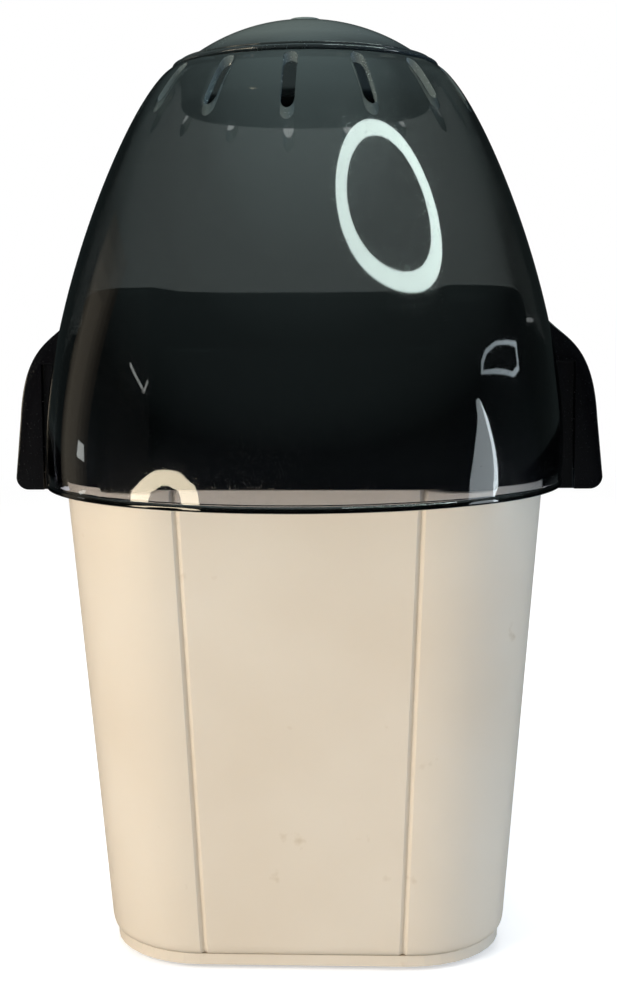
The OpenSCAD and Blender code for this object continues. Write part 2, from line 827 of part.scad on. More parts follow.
module fan_housing() {
    spigot = 4;
    color([0.16, 0.15, 0.14]) difference() {
        union() {
            translate([0, 0, fan_z]) tube(fan_out, fan_out - fan_wall, fan_h);
            translate([0, 0, duct_z - 4]) tube(fan_out, duct_r - hole_gap - fan_wall, 4);
            translate([0, 0, fan_z]) linear_extrude(fan_wall) mount_shape();
        }
        translate([0, 0, fan_z - cut]) cylinder(r = bush_r + 1, h = fan_wall + 2 * cut, $fn = 48);
        for (s = [-1, 1]) translate([s * motor_screw_at, 0, fan_z - cut])
            cylinder(r = motor_screw_r + hole_gap, h = fan_wall + 2 * cut, $fn = 32);
    }
}

// The floor: an outer ring round the inlet, and a motor mount on spokes.
module mount_shape() {
    spoke_w = 6;
    difference() {
        circle(r = fan_out);
        difference() {
            circle(r = inlet_r);
            circle(r = mount_r);
            for (a = [45, 135]) rotate(a) square([2 * fan_out, spoke_w], center = true);
        }
    }
}

// A backward-curved blade, seen from above.
module blade_shape() {
    curve_r = impeller_r * 0.62;
    translate([impeller_r * 0.5, curve_r * 0.86]) intersection() {
        difference() {
            circle(r = curve_r, $fn = 72);
            circle(r = curve_r - blade_t, $fn = 72);
        }
        translate([-curve_r * 0.36, -2 * curve_r]) square([impeller_r, curve_r * 1.44]);
    }
}

module impeller() {
    color([0.75, 0.75, 0.72]) difference() {
        union() {
            translate([0, 0, plate_z]) cylinder(r = impeller_r, h = blade_t);
            translate([0, 0, impeller_z]) cylinder(r = hub_r, h = blade_h + 3.5, $fn = 64);
            translate([0, 0, impeller_z]) tube(impeller_r, impeller_r - 5, blade_t);
            translate([0, 0, impeller_z]) linear_extrude(blade_h + blade_t / 2) intersection() {
                for (i = [0 : blade_n - 1]) rotate(i * 360 / blade_n) blade_shape();
                circle(r = impeller_r - 0.5);
            }
        }
        translate([0, 0, impeller_z - cut]) cylinder(r = shaft_r, h = far, $fn = 64);
    }
}

module motor_shaft() {
    color("silver") translate([0, 0, shaft_low]) cylinder(r = shaft_r, h = shaft_top - shaft_low, $fn = 64);
}

module motor_armature() {
    stack = motor_len * 0.55;
    color("darkgoldenrod") difference() {
        union() {
            translate([0, 0, motor_low + motor_len * 0.27]) cylinder(r = armature_r, h = stack);
            translate([0, 0, motor_low + cap_t + 1]) cylinder(r = shaft_r + 1.8, h = motor_len * 0.27, $fn = 48);
        }
        for (i = [0 : 2]) rotate(i * 120) translate([armature_r - 3, -1, 0]) cube([far, 2, far]);
        cylinder(r = shaft_r, h = far, $fn = 64);
    }
}

module motor_magnets() {
    color("dimgray") for (a = [20, 200]) rotate(a) translate([0, 0, motor_low + motor_len * 0.25])
        rotate_extrude(angle = 140) translate([armature_r + 0.6, 0])
            square([motor_r - motor_wall - armature_r - 0.6, motor_len * 0.6]);
}

module motor_can() {
    color("lightsteelblue") difference() {
        translate([0, 0, motor_low]) cylinder(r = motor_r, h = motor_len);
        translate([0, 0, motor_low - cut]) cylinder(r = motor_r - motor_wall, h = motor_len - motor_wall + cut);
        cylinder(r = bush_r, h = far, $fn = 64);
        for (s = [-1, 1]) translate([s * motor_screw_at, 0, 0]) cylinder(r = motor_screw_r, h = far, $fn = 32);
    }
}

module motor_end_cap() {
    color("black") difference() {
        translate([0, 0, motor_low]) cylinder(r = motor_r - motor_wall, h = cap_t);
        cylinder(r = bush_r, h = far, $fn = 64);
    }
}

module motor_bushes() {
    color("goldenrod") difference() {
        union() {
            translate([0, 0, motor_low]) cylinder(r = bush_r, h = cap_t, $fn = 64);
            translate([0, 0, motor_top - bush_h + fan_wall]) cylinder(r = bush_r, h = bush_h, $fn = 64);
        }
        translate([0, 0, motor_low - cut]) cylinder(r = shaft_r + run_gap, h = far, $fn = 64);
    }
}

module motor_screws() {
    color("silver") for (s = [-1, 1]) translate([s * motor_screw_at, 0, fan_z + fan_wall])
        rotate([180, 0, 0]) screw(motor_screw_r, 5.5, motor_screw_r * 1.9, 1.2);
}

board_t = 1.6;
board_top = motor_low - 1.6;

module rectifier_board() {
    color("darkgreen") union() {
        translate([0, 0, board_top - board_t]) cylinder(r = motor_r - 1, h = board_t);
        for (s = [-1, 1]) translate([-0.4, s * (motor_r - 5) - 1.2, board_top]) cube([0.8, 2.4, 1.6]);
    }
}

module rectifier_diodes() {
    r = 1.35;
    color([0.1, 0.1, 0.1]) for (i = [0 : 3])
        translate([(i - 1.5) * 5.4, 0, board_top - board_t - r]) rotate([90, 0, 0])
            cylinder(r = r, h = 5.2, center = true, $fn = 32);
}

// ---------------------------------------------------------------- switch and cord inlet

bezel_w = switch_w + 3;
bezel_h = switch_h + 3;
bezel_t = 1.6;
rocker_w = switch_w - 4.4;
rocker_h = switch_h - 4;
pin_r = 1.2;
pin_deep = 1.4;
pin_z = -2.2;
rocker_r = rocker_h / 2 + 0.8;
well_gap = 0.4;

module switch_housing() {
    color("black") on_back_wall(0, switch_z) difference() {
        union() {
            translate([-bezel_w / 2, -bezel_h / 2, 0]) cube([bezel_w, bezel_h, bezel_t]);
            translate([-switch_w / 2 + hole_gap, -switch_h / 2 + hole_gap, -switch_deep])
                cube([switch_w - 2 * hole_gap, switch_h - 2 * hole_gap, switch_deep]);
            for (x = [-5, 5]) translate([x - 2.4, -0.4, -switch_deep - 7]) cube([4.8, 0.8, 7.2]);
        }
        translate([-rocker_w / 2 - well_gap, -rocker_r - well_gap, pin_z - rocker_r - 2])
            cube([rocker_w + 2 * well_gap, 2 * rocker_r + 2 * well_gap, far]);
        translate([-rocker_w / 2 - pin_deep, 0, pin_z]) rotate([0, 90, 0])
            cylinder(r = pin_r + run_gap, h = rocker_w + 2 * pin_deep, $fn = 48);
    }
}

// The rocker turns on two pins; it is drawn switched off, tilted by half its travel.
module switch_rocker() {
    crown = 3.4;
    dip = 1.2;
    color([0.05, 0.05, 0.05]) on_back_wall(0, switch_z) translate([0, 0, pin_z]) rotate([rocker_travel / 2, 0, 0]) {
        translate([-rocker_w / 2, 0, 0]) rotate([90, 0, 90]) linear_extrude(rocker_w) polygon(concat(
            [[0, crown - pin_z - dip], [-rocker_h / 2, crown - pin_z]],
            arc_points(0, 0, rocker_h / 2, 180, 360, 12),
            [[rocker_h / 2, crown - pin_z]]));
        translate([-rocker_w / 2 - pin_deep + 0.2, 0, 0]) rotate([0, 90, 0])
            cylinder(r = pin_r, h = rocker_w + 2 * pin_deep - 0.4, $fn = 48);
    }
}

gland_neck_r = gland_bore_r + 2.4;
gland_nut_h = 3;

module cord_gland() {
    flange_t = 2;
    color("black") on_back_wall(gland_x, gland_z) difference() {
        union() {
            cylinder(r = gland_flange_r, h = flange_t, $fn = 64);
            translate([0, 0, -body_wall - gland_nut_h - 2]) cylinder(r = gland_neck_r, h = body_wall + gland_nut_h + 3, $fn = 64);
            translate([0, 0, flange_t - 0.5]) cylinder(r = gland_neck_r, h = 3.5, $fn = 64);
        }
        translate([0, 0, -far / 2]) cylinder(r = gland_bore_r, h = far, $fn = 64);
    }
}

module gland_nut() {
    color("black") on_back_wall(gland_x, gland_z) translate([0, 0, -body_wall - gland_nut_h]) difference() {
        cylinder(r = gland_flange_r, h = gland_nut_h, $fn = 6);
        translate([0, 0, -cut]) cylinder(r = gland_neck_r + hole_gap / 2, h = gland_nut_h + 2 * cut, $fn = 64);
    }
}

// ---------------------------------------------------------------- hood

hood_rim = body_top + hood_rim_dz;
hood_rise = hood_top - hood_rim;

// Half width against height, from the rim to the top edge.
hood_side = [
    [hood_w / 2, hood_rim],
    [hood_w / 2 + hood_full, hood_rim + 0.342 * hood_rise],
    [hood_top_r + hood_shoulder, hood_top - 0.055 * hood_rise],
    [hood_top_r, hood_top]];

front_steps = 30;
back_steps = 9;

// How far section t is from being a circle: 1 at the rim, 0 at the round top.
function hood_off(t) = max(0, 1 - (bezier(hood_side, t)[1] - hood_rim) / hood_rise);

// Section t of the hood, moved in by inset: a half round front, flat sides and a squared back.
function hood_outline(t, inset) =
    let (w = bezier(hood_side, t)[0],
         off = hood_off(t),
         front_y = -hood_front * off,
         back = w - hood_back * (1 - pow(1 - off, 2)) - inset,
         corner = mix(min(w, back + inset), hood_corner_r, 1 - pow(1 - off, 2)) - inset,
         r = w - inset,
         da = 90 / front_steps,
         db = 45 / back_steps)
    concat(
        arc_points(0, front_y, r, 180 + da, 360 - da, front_steps),
        arc_points(r - corner, back - corner, corner, 0, 90 - db, back_steps),
        [[0, back]],
        arc_points(corner - r, back - corner, corner, 90 + db, 180, back_steps));

hood_ts = [0.05, 0.15, 0.27, 0.39, 0.5, 0.61, 0.71, 0.79, 0.86, 0.92, 0.965, 1];

// Inner skin: each outer section moved in and down along the wall's normal.
function hood_inner(t) =
    let (s = bezier_slope(hood_side, t), n = s / norm(s))
    ring(hood_outline(t, hood_wall * n[1]), bezier(hood_side, t)[1] + hood_wall * n[0]);

bead_out = 0.5;

hood_rings = concat(
    [ring(hood_outline(0, -bead_out + 0.3), hood_rim),
     ring(hood_outline(0, -bead_out), hood_rim + 0.4),
     ring(hood_outline(0, -bead_out), hood_rim + hood_rim_h - 0.5),
     ring(hood_outline(0.01, 0), hood_rim + hood_rim_h)],
    [for (t = hood_ts) ring(hood_outline(t, 0), bezier(hood_side, t)[1])],
    [ring(hood_outline(1, hood_top_r - hood_mouth_r), hood_top),
     ring(hood_outline(1, hood_top_r - hood_mouth_r), hood_top - hood_wall * 1.3)],
    [for (i = [len(hood_ts) - 3 : -1 : 0]) hood_inner(hood_ts[i])],
    [ring(hood_outline(0.01, hood_wall), hood_rim + hood_rim_h + 0.4),
     ring(hood_outline(0, hood_rim_t - bead_out), hood_rim + hood_rim_h - 0.4),
     ring(hood_outline(0, hood_rim_t - bead_out), hood_rim)]);

// A vent slot along a radius, at an angle from the front; the slots get longer towards the front.
module vent_slot(turn) {
    vent_out = vent_in + vent_len + vent_longer * pow(max(0, cos(turn)), 3);
    rotate(turn - 90) translate([0, 0, hood_rim + hood_rise / 2]) hull()
        for (x = [vent_in + vent_w / 2, vent_out - vent_w / 2])
            translate([x, 0, 0]) cylinder(r = vent_w / 2, h = far, $fn = 20);
}

module hood() {
    notch_w = grip_w + 2 * notch_gap;
    notch_top = grip_top + notch_gap;
    notch_r = 5;
    color([0.2, 0.22, 0.24, 0.45]) difference() {
        loft_skin(hood_rings);
        for (i = [0 : vent_n - 1]) vent_slot(vent_turn + i * 360 / vent_n);
        translate([0, grip_y, 0]) hull() {
            translate([-far, -notch_w / 2, hood_rim - cut]) cube([2 * far, notch_w, cut]);
            for (s = [-1, 1]) translate([-far, s * (notch_w / 2 - notch_r), notch_top - notch_r])
                rotate([0, 90, 0]) cylinder(r = notch_r, h = 2 * far, $fn = 32);
        }
    }
}

// ---------------------------------------------------------------- cup and cap

cup_seat = hood_top + lift_gap;
cup_top = cup_seat + cup_flange_t;
cup_bottom = cup_top - cup_depth - cup_wall;

module measuring_cup() {
    lip = 0.6;
    color([0.12, 0.14, 0.15]) rotate_extrude() polygon([
        [0, cup_bottom],
        [cup_r - 1.6, cup_bottom],
        [cup_r - 0.5, cup_bottom + 0.5],
        [cup_r, cup_bottom + 1.6],
        [cup_r, cup_seat],
        [cup_flange_r - lip, cup_seat],
        [cup_flange_r, cup_seat + lip],
        [cup_flange_r, cup_top - lip],
        [cup_flange_r - lip, cup_top],
        [cup_r - cup_wall, cup_top],
        [cup_r - cup_wall, cup_bottom + cup_wall],
        [0, cup_bottom + cup_wall]]);
}

cap_seat = cup_top + lift_gap;
cap_spigot_r = cup_r - cup_wall - slide_gap;
dome_z = cap_seat + 0.1;
dome_foot_r = cap_r - 1.4;
dome_centre = dome_z - sqrt(dome_r * dome_r - dome_foot_r * dome_foot_r);

module cup_cap() {
    spigot_deep = cup_flange_t + lift_gap;    // down to the underside of the cup's flange
    color([0.28, 0.3, 0.31]) difference() {
        union() {
            translate([0, 0, cap_seat]) cylinder(r = cap_r, h = cap_edge);
            translate([0, 0, cap_seat - spigot_deep]) cylinder(r = cap_spigot_r, h = spigot_deep + cap_edge);
            intersection() {
                translate([0, 0, dome_centre]) sphere(r = dome_r, $fn = 160);
                translate([0, 0, cap_seat]) cylinder(r = dome_foot_r, h = far);
            }
            translate([0, 0, dome_centre + dome_r - 2]) cylinder(r = pad_r, h = 2 + pad_h, $fn = 64);
        }
        translate([0, 0, cap_seat - spigot_deep - cut]) cylinder(r = cap_spigot_r - cap_wall, h = spigot_deep + cut + 0.5);
        intersection() {
            translate([0, 0, dome_centre]) sphere(r = dome_r - cap_wall, $fn = 160);
            translate([0, 0, cap_seat + 0.4]) cylinder(r = cap_spigot_r - cap_wall, h = far);
        }
    }
}

body_shell();
base_plate();
foot_pads();
base_screws();
top_housing();
left_grip();
right_grip();
popping_chamber();
chamber_gasket();
chamber_screws();
air_duct();
mica_frame();
heater_coils();
thermostat();
thermal_fuse();
fan_housing();
impeller();
motor_shaft();
motor_armature();
motor_magnets();
motor_can();
motor_end_cap();
motor_bushes();
motor_screws();
rectifier_board();
rectifier_diodes();
switch_housing();
switch_rocker();
cord_gland();
gland_nut();
hood();
measuring_cup();
cup_cap();
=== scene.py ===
import math

import bmesh
import bpy
from mathutils import Matrix, Vector


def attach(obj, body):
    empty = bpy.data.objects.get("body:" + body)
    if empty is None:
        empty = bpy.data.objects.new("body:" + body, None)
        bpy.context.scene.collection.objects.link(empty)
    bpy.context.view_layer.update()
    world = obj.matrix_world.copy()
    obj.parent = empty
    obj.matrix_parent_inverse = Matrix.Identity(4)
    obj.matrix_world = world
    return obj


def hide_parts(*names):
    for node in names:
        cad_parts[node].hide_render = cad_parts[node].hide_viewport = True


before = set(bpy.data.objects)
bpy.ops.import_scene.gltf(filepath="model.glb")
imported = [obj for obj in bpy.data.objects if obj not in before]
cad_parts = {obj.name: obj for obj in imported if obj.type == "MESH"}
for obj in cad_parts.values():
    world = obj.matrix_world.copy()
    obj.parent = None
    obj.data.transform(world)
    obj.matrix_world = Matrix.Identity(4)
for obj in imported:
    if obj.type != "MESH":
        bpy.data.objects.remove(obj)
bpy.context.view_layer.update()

# A hot-air popcorn maker: cream body, gloss black top housing and grips, smoked hood, cup and cap.
# Sizes are in millimetres, turned to metres when a mesh is made. Front is -Y, the table is z = 0.
MM = 0.001

# ---------------------------------------------------------------- sizes shared with the frame

BODY_W, BODY_D = 145.2, 133.0
BODY_TOP, BODY_BOTTOM = 148.0, 5.0
BODY_DRAFT = math.radians(4.2)
BODY_CORNER = 35.8
BODY_WALL = 2.4
GROOVE_W, GROOVE_D = 2.4, 1.0
DECK_DRAFT = math.radians(6.4)
SKIRT_TOP = 150.0

SWITCH_Z, SWITCH_W, SWITCH_H = 40.0, 19.2, 13.0
ROCKER_TILT = math.radians(8)
ROCKER_PIN, ROCKER_CROWN, ROCKER_DIP, ROCKER_HALF = -2.2, 3.4, 1.2, 4.5
GLAND_X, GLAND_Z, GLAND_NECK = 18.0, 24.0, 6.0

HOOD_W = 156.4
HOOD_RIM, HOOD_TOP = 146.0, 273.5
HOOD_TOP_R, MOUTH_R = 42.6, 39.9
HOOD_WALL = 2.2
# At the rim: how far forward the front's half circle stands, how far the back is set in, and its corners' radius.
HOOD_FRONT, HOOD_BACK, HOOD_CORNER = 26.0, 4.5, 38.0
# How far the two handles of the side's curve lie outside its ends, and how far up they are, as parts of the rise.
HOOD_FULL, HOOD_SHOULDER = 7.0, 13.0
HOOD_FULL_AT, HOOD_SHOULDER_AT = 0.342, 0.055
RIM_T, RIM_H, RIM_PROUD = 2.9, 1.7, 0.5
# The part of the side's curve that the rim's bead covers.
RIM_COVERS = 0.014
HOOD_EDGE_R = 0.3
VENTS, VENT_TURN = 15, -2.6
VENT_W, VENT_IN, VENT_LEN, VENT_LONGER = 4.1, 44.4, 8.4, 6.8
# No slot reaches lower than this above the rim.
VENT_LOWEST = 70.0

GRIP_W, GRIP_Y = 42.0, 12.0
GRIP_IN, GRIP_OUT = 77.7, 94.4
GRIP_BOTTOM, GRIP_TOP = 141.5, 195.0
GRIP_WALL, GRIP_STEP = 3.0, 1.6
GRIP_LEAN, GRIP_CORNER, GRIP_EDGE_R = 2.0, 4.0, 0.7
# How far below the grip's top its finger pocket ends, and the steps at both ends.
POCKET_DOWN, STEP_DOWN = 12, 13
# The steps reach this part of the way out.
STEP_REACH = 0.45
NOTCH_GAP, NOTCH_CORNER = 1.2, 5.0

CUP_R, CUP_WALL, CUP_FLANGE = 39.6, 1.6, 42.0
CUP_SEAT, CUP_TOP, CUP_BOTTOM = 273.7, 275.1, 260.5
CUP_FOOT_R, FLANGE_EDGE_R, CUP_LIP_R = 2.4, 0.65, 0.5
CAP_R, CAP_WALL, CAP_EDGE_R = 40.0, 1.8, 0.45
CAP_SEAT, SPIGOT_GAP = 275.3, 0.3
DOME_R, DOME_INSET = 62.0, 1.4
PAD_R, PAD_H = 5.0, 0.8


# ---------------------------------------------------------------- camera

CAMERA_AZIMUTH = math.radians(2.5)
CAMERA_PITCH = math.radians(7.0)
CAMERA_ROLL = math.radians(0.4)
CAMERA_AWAY, CAMERA_HEIGHT = 480.75, 195.95
CAMERA_LENS, CAMERA_SENSOR, CAMERA_SHIFT = 53.1, 36.0, 0.0015


def add_camera():
    """A camera in front and a little above, with a lens that shows the whole object upright."""
    data = bpy.data.cameras.new("camera")
    data.lens = CAMERA_LENS
    data.sensor_width = CAMERA_SENSOR
    data.clip_start = 10 * MM
    data.shift_x = CAMERA_SHIFT
    camera = bpy.data.objects.new("camera", data)
    bpy.context.scene.collection.objects.link(camera)
    camera.location = Vector((
        math.sin(CAMERA_AZIMUTH) * CAMERA_AWAY,
        -math.cos(CAMERA_AZIMUTH) * CAMERA_AWAY,
        CAMERA_HEIGHT)) * MM
    camera.rotation_euler = (math.radians(90) - CAMERA_PITCH, CAMERA_ROLL, CAMERA_AZIMUTH)
    bpy.context.scene.camera = camera


# ---------------------------------------------------------------- curves and meshes

# Faces that meet at less than this are shaded as one surface; the second is for the finely divided body and hood.
SMOOTH_DEG, CRISP_DEG = 35, 30


def mix(a, b, t):
    """The value t of the way from a to b."""
    return a + (b - a) * t


def arc(cx, cy, r, start, end, steps):
    """Points of an arc, with angles in degrees."""
    angles = [math.radians(mix(start, end, i / steps)) for i in range(steps + 1)]
    return [(cx + r * math.cos(a), cy + r * math.sin(a)) for a in angles]


def circle(r, steps):
    """Points around the middle, without the first one again at the end."""
    return arc(0, 0, r, 0, 360 - 360 / steps, steps - 1)


def rectangle(x0, x1, y0, y1):
    """The four corners, anticlockwise where both sizes grow."""
    return [(x0, y0), (x1, y0), (x1, y1), (x0, y1)]


def bezier(p, t):
    """A point on a cubic curve with two ends and two handles."""
    u = 1 - t
    weights = (u ** 3, 3 * u * u * t, 3 * u * t * t, t ** 3)
    return tuple(sum(w * q[k] for w, q in zip(weights, p)) for k in (0, 1))


def bezier_slope(p, t):
    """The curve's direction there; its length isn't 1."""
    u = 1 - t
    weights = (3 * u * u, 6 * u * t, 3 * t * t)
    steps = [(p[i + 1][0] - p[i][0], p[i + 1][1] - p[i][1]) for i in range(3)]
    return tuple(sum(w * s[k] for w, s in zip(weights, steps)) for k in (0, 1))


def ring(outline, z):
    """A flat outline, lifted to a height."""
    return [(x, y, z) for x, y in outline]


def finish_mesh(name, bm):
    """Turns a bmesh in millimetres into an object with smooth faces."""
    bmesh.ops.scale(bm, vec=(MM, MM, MM), verts=bm.verts)
    bmesh.ops.recalc_face_normals(bm, faces=bm.faces)
    mesh = bpy.data.meshes.new(name)
    bm.to_mesh(mesh)
    bm.free()
    shade(mesh)
    piece = bpy.data.objects.new(name, mesh)
    bpy.context.scene.collection.objects.link(piece)
    return piece


def shade(mesh, smooth_deg=SMOOTH_DEG):
    for polygon in mesh.polygons:
        polygon.use_smooth = True
    mesh.set_sharp_from_angle(angle=math.radians(smooth_deg))


def loft(name, rings, closed=False):
    """A skin through rings of equal length: closed joins the last ring to the first, else both ends are capped."""
    bm = bmesh.new()
    rows = [[bm.verts.new(p) for p in r] for r in rings]
    pairs = list(zip(rows, rows[1:])) + ([(rows[-1], rows[0])] if closed else [])
    for low, high in pairs:
        for k in range(len(low)):
            m = (k + 1) % len(low)
            bm.faces.new((low[k], low[m], high[m], high[k]))
    if not closed:
        bm.faces.new(list(reversed(rows[0])))
        bm.faces.new(rows[-1])
    return finish_mesh(name, bm)


def revolve(name, profile, steps=160):
    """A solid of revolution about the vertical axis; the profile runs from axis to axis."""
    bm = bmesh.new()
    columns = []
    for r, z in profile:
        around = ring(circle(r, steps), z) if r > 0 else [(0, 0, z)]
        columns.append([bm.verts.new(p) for p in around])
    for a, b in zip(columns, columns[1:]):
        for k in range(steps):
            m = (k + 1) % steps
            corners = [a[k % len(a)], a[m % len(a)], b[m % len(b)], b[k % len(b)]]
            bm.faces.new([v for i, v in enumerate(corners) if v not in corners[:i]])
    return finish_mesh(name, bm)


def prism(name, outline, low, high, axis="Z"):
    """An outline extruded along an axis: it is (x, y) for Z, (x, z) for Y and (y, z) for X."""
    at = "XYZ".index(axis)
    rows = [[(*p[:at], h, *p[at:]) for p in outline] for h in (low, high)]
    return loft(name, rows)


def carve(piece, tools, smooth_deg=SMOOTH_DEG):
    """Cuts the tools out of a piece and applies the cuts."""
    for tool in tools:
        cut = piece.modifiers.new("cut", "BOOLEAN")
        cut.operation = "DIFFERENCE"
        cut.object = tool
    apply_modifiers(piece, smooth_deg)
    for tool in tools:
        bpy.data.objects.remove(tool)


def apply_modifiers(piece, smooth_deg):
    """Puts what the modifiers make in the place of the piece's mesh."""
    depsgraph = bpy.context.evaluated_depsgraph_get()
    mesh = bpy.data.meshes.new_from_object(piece.evaluated_get(depsgraph))
    piece.modifiers.clear()
    piece.data = mesh
    shade(mesh, smooth_deg)


def soften(piece, width, segments, angle, smooth_deg=SMOOTH_DEG):
    """Rounds the edges that are sharper than an angle."""
    bevel = piece.modifiers.new("edge", "BEVEL")
    bevel.width = width * MM
    bevel.segments = segments
    bevel.limit_method = "ANGLE"
    bevel.angle_limit = math.radians(angle)
    apply_modifiers(piece, smooth_deg)


def dress(piece, body, slot, material, *nodes):
    """Hangs a finished piece on its body and sets its material; slot is not used."""
    piece.data.materials.clear()
    piece.data.materials.append(material)
    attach(piece, body)
    if nodes:
        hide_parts(*nodes)


# ---------------------------------------------------------------- materials

def srgb(code):
    """A hex colour as linear RGBA."""
    parts = [int(code[i:i + 2], 16) / 255 for i in (1, 3, 5)]
    return tuple(c / 12.92 if c <= 0.04045 else ((c + 0.055) / 1.055) ** 2.4 for c in parts) + (1.0,)


def toned(code, times, plus=0.0):
    """A hex colour made darker or paler."""
    return tuple(c * times + plus for c in srgb(code)[:3]) + (1.0,)


def grey(value):
    return (value, value, value, 1.0)


def per_mm(size):
    """Noise scale, in cells per metre, for a feature of that many millimetres."""
    return 1000.0 / size


def new_material(name):
    """A material with its node tree and its shader."""
    material = bpy.data.materials.new(name)
    material.use_nodes = True
    tree = material.node_tree
    return material, tree, tree.nodes["Principled BSDF"]


def plug(tree, node, **sockets):
    """Sets a node's sockets to values, links or other nodes' first outputs; _0 gives a socket's number."""
    for key, value in sockets.items():
        name = int(key[1:]) if key[0] == "_" else key.replace("_", " ")
        if isinstance(value, bpy.types.Node):
            value = value.outputs[0]
        if isinstance(value, bpy.types.NodeSocket):
            tree.links.new(value, node.inputs[name])
        else:
            node.inputs[name].default_value = value


def add(tree, kind, settings=None, stops=(), **sockets):
    """Adds a node with its properties, a colour ramp's stops, and what its sockets hold."""
    made = tree.nodes.new(kind)
    for key, value in (settings or {}).items():
        setattr(made, key, value)
    if stops:
        elements = made.color_ramp.elements
        while len(elements) < len(stops):
            elements.new(0.5)
        for element, (position, colour) in zip(elements, stops):
            element.position = position
            element.color = colour
    plug(tree, made, **sockets)
    return made


def scratches(tree, turn, spacing_mm, long_mm):
    """Fine straight scratches, drawn coarser than real ones: stretched noise, kept only at its crests."""
    where = add(tree, "ShaderNodeTexCoord").outputs["Object"]
    turned = add(tree, "ShaderNodeMapping", Vector=where, Rotation=turn,
                 Scale=(per_mm(spacing_mm), per_mm(long_mm), per_mm(spacing_mm)))
    lines = add(tree, "ShaderNodeTexNoise", Vector=turned, Scale=1.0, Detail=1.0)
    return add(tree, "ShaderNodeValToRGB", stops=[(0.67, grey(0)), (0.73, grey(1))], Fac=lines)


def moulded_polypropylene():
    """Injection-moulded polypropylene, cream: soft satin, a fine spark texture and a few faint food stains.

    The spark texture is drawn at 0.5 mm, coarser than the real 0.1 mm, so that it shows.
    """
    material, tree, shader = new_material("moulded_polypropylene")
    where = add(tree, "ShaderNodeTexCoord").outputs["Object"]
    cloud = add(tree, "ShaderNodeTexNoise", Vector=where, Scale=per_mm(60), Detail=2.0)
    cream = add(tree, "ShaderNodeValToRGB", stops=[(0.3, srgb("#DCCDB7")), (0.7, srgb("#E2D5C1"))], Fac=cloud)
    spots = add(tree, "ShaderNodeTexNoise", Vector=where, Scale=per_mm(9), Detail=3.0)
    stain = add(tree, "ShaderNodeValToRGB", stops=[(0.70, grey(0)), (0.78, grey(0.35))], Fac=spots)
    stained = add(tree, "ShaderNodeMix", {"data_type": "RGBA"}, _0=stain, _6=cream, _7=srgb("#B49A74"))
    grain = add(tree, "ShaderNodeTexNoise", Vector=where, Scale=per_mm(0.5), Detail=2.0)
    relief = add(tree, "ShaderNodeBump", Height=grain, Distance=0.02 * MM, Strength=0.5)
    wear = add(tree, "ShaderNodeTexNoise", Vector=where, Scale=per_mm(18), Detail=4.0)
    rough = add(tree, "ShaderNodeMapRange", Value=wear, To_Min=0.3, To_Max=0.42)
    plug(tree, shader, Base_Color=stained.outputs[2], Roughness=rough, Normal=relief, IOR=1.49,
         Subsurface_Weight=0.06, Subsurface_Radius=(0.004, 0.0032, 0.0024), Subsurface_Scale=0.4)
    return material


def smoked_polycarbonate(name, tints, roughness, clear=1.0):
    """Injection-moulded polycarbonate, smoked: glossy, with a slight flow wave and fine scratches.

    tints are heights above the hood's rim, in millimetres, with the tint of one wall there; where the tint changes
    with height, it paints light and shade.
    """
    material, tree, shader = new_material(name)
    where = add(tree, "ShaderNodeTexCoord").outputs["Object"]
    height = add(tree, "ShaderNodeSeparateXYZ", Vector=where).outputs["Z"]
    tall = tints[-1][0]
    span = add(tree, "ShaderNodeMapRange", Value=height, From_Min=HOOD_RIM * MM, From_Max=(HOOD_RIM + tall) * MM)
    tint = add(tree, "ShaderNodeValToRGB", stops=[(h / tall, srgb(code)) for h, code in tints], Fac=span)
    lines = add(tree, "ShaderNodeMath", {"operation": "MAXIMUM"},
                _0=scratches(tree, (0.3, 0.5, 0.9), 0.35, 25), _1=scratches(tree, (0.9, -0.4, -0.7), 0.4, 35))
    patches = add(tree, "ShaderNodeTexNoise", Vector=where, Scale=per_mm(35), Detail=3.0)
    rubbed = add(tree, "ShaderNodeValToRGB", stops=[(0.42, grey(0)), (0.6, grey(1))], Fac=patches)
    marks = add(tree, "ShaderNodeMath", {"operation": "MULTIPLY"}, _0=lines, _1=rubbed)
    rough = add(tree, "ShaderNodeMapRange", Value=marks, To_Min=roughness, To_Max=roughness + 0.23)
    flow = add(tree, "ShaderNodeTexNoise", Vector=where, Scale=per_mm(28), Detail=1.0)
    relief = add(tree, "ShaderNodeBump", Height=flow, Distance=0.2 * MM, Strength=0.15)
    plug(tree, shader, Base_Color=tint, Roughness=rough, Normal=relief, IOR=1.58, Transmission_Weight=clear)
    return material


def gloss_black_phenolic():
    """Compression-moulded phenolic, black: hard and glossy, with a faint ripple and hairline scuffs."""
    material, tree, shader = new_material("gloss_black_phenolic")
    where = add(tree, "ShaderNodeTexCoord").outputs["Object"]
    cloud = add(tree, "ShaderNodeTexNoise", Vector=where, Scale=per_mm(30), Detail=2.0)
    black = add(tree, "ShaderNodeValToRGB", stops=[(0.3, srgb("#08080A")), (0.7, srgb("#0E0E10"))], Fac=cloud)
    scuffs = scratches(tree, (0.2, 0.9, 0.4), 0.5, 12)
    rough = add(tree, "ShaderNodeMapRange", Value=scuffs, To_Min=0.12, To_Max=0.3)
    ripple = add(tree, "ShaderNodeTexNoise", Vector=where, Scale=per_mm(9), Detail=2.0)
    relief = add(tree, "ShaderNodeBump", Height=ripple, Distance=0.12 * MM, Strength=0.3)
    plug(tree, shader, Base_Color=black, Roughness=rough, Normal=relief, IOR=1.55)
    return material


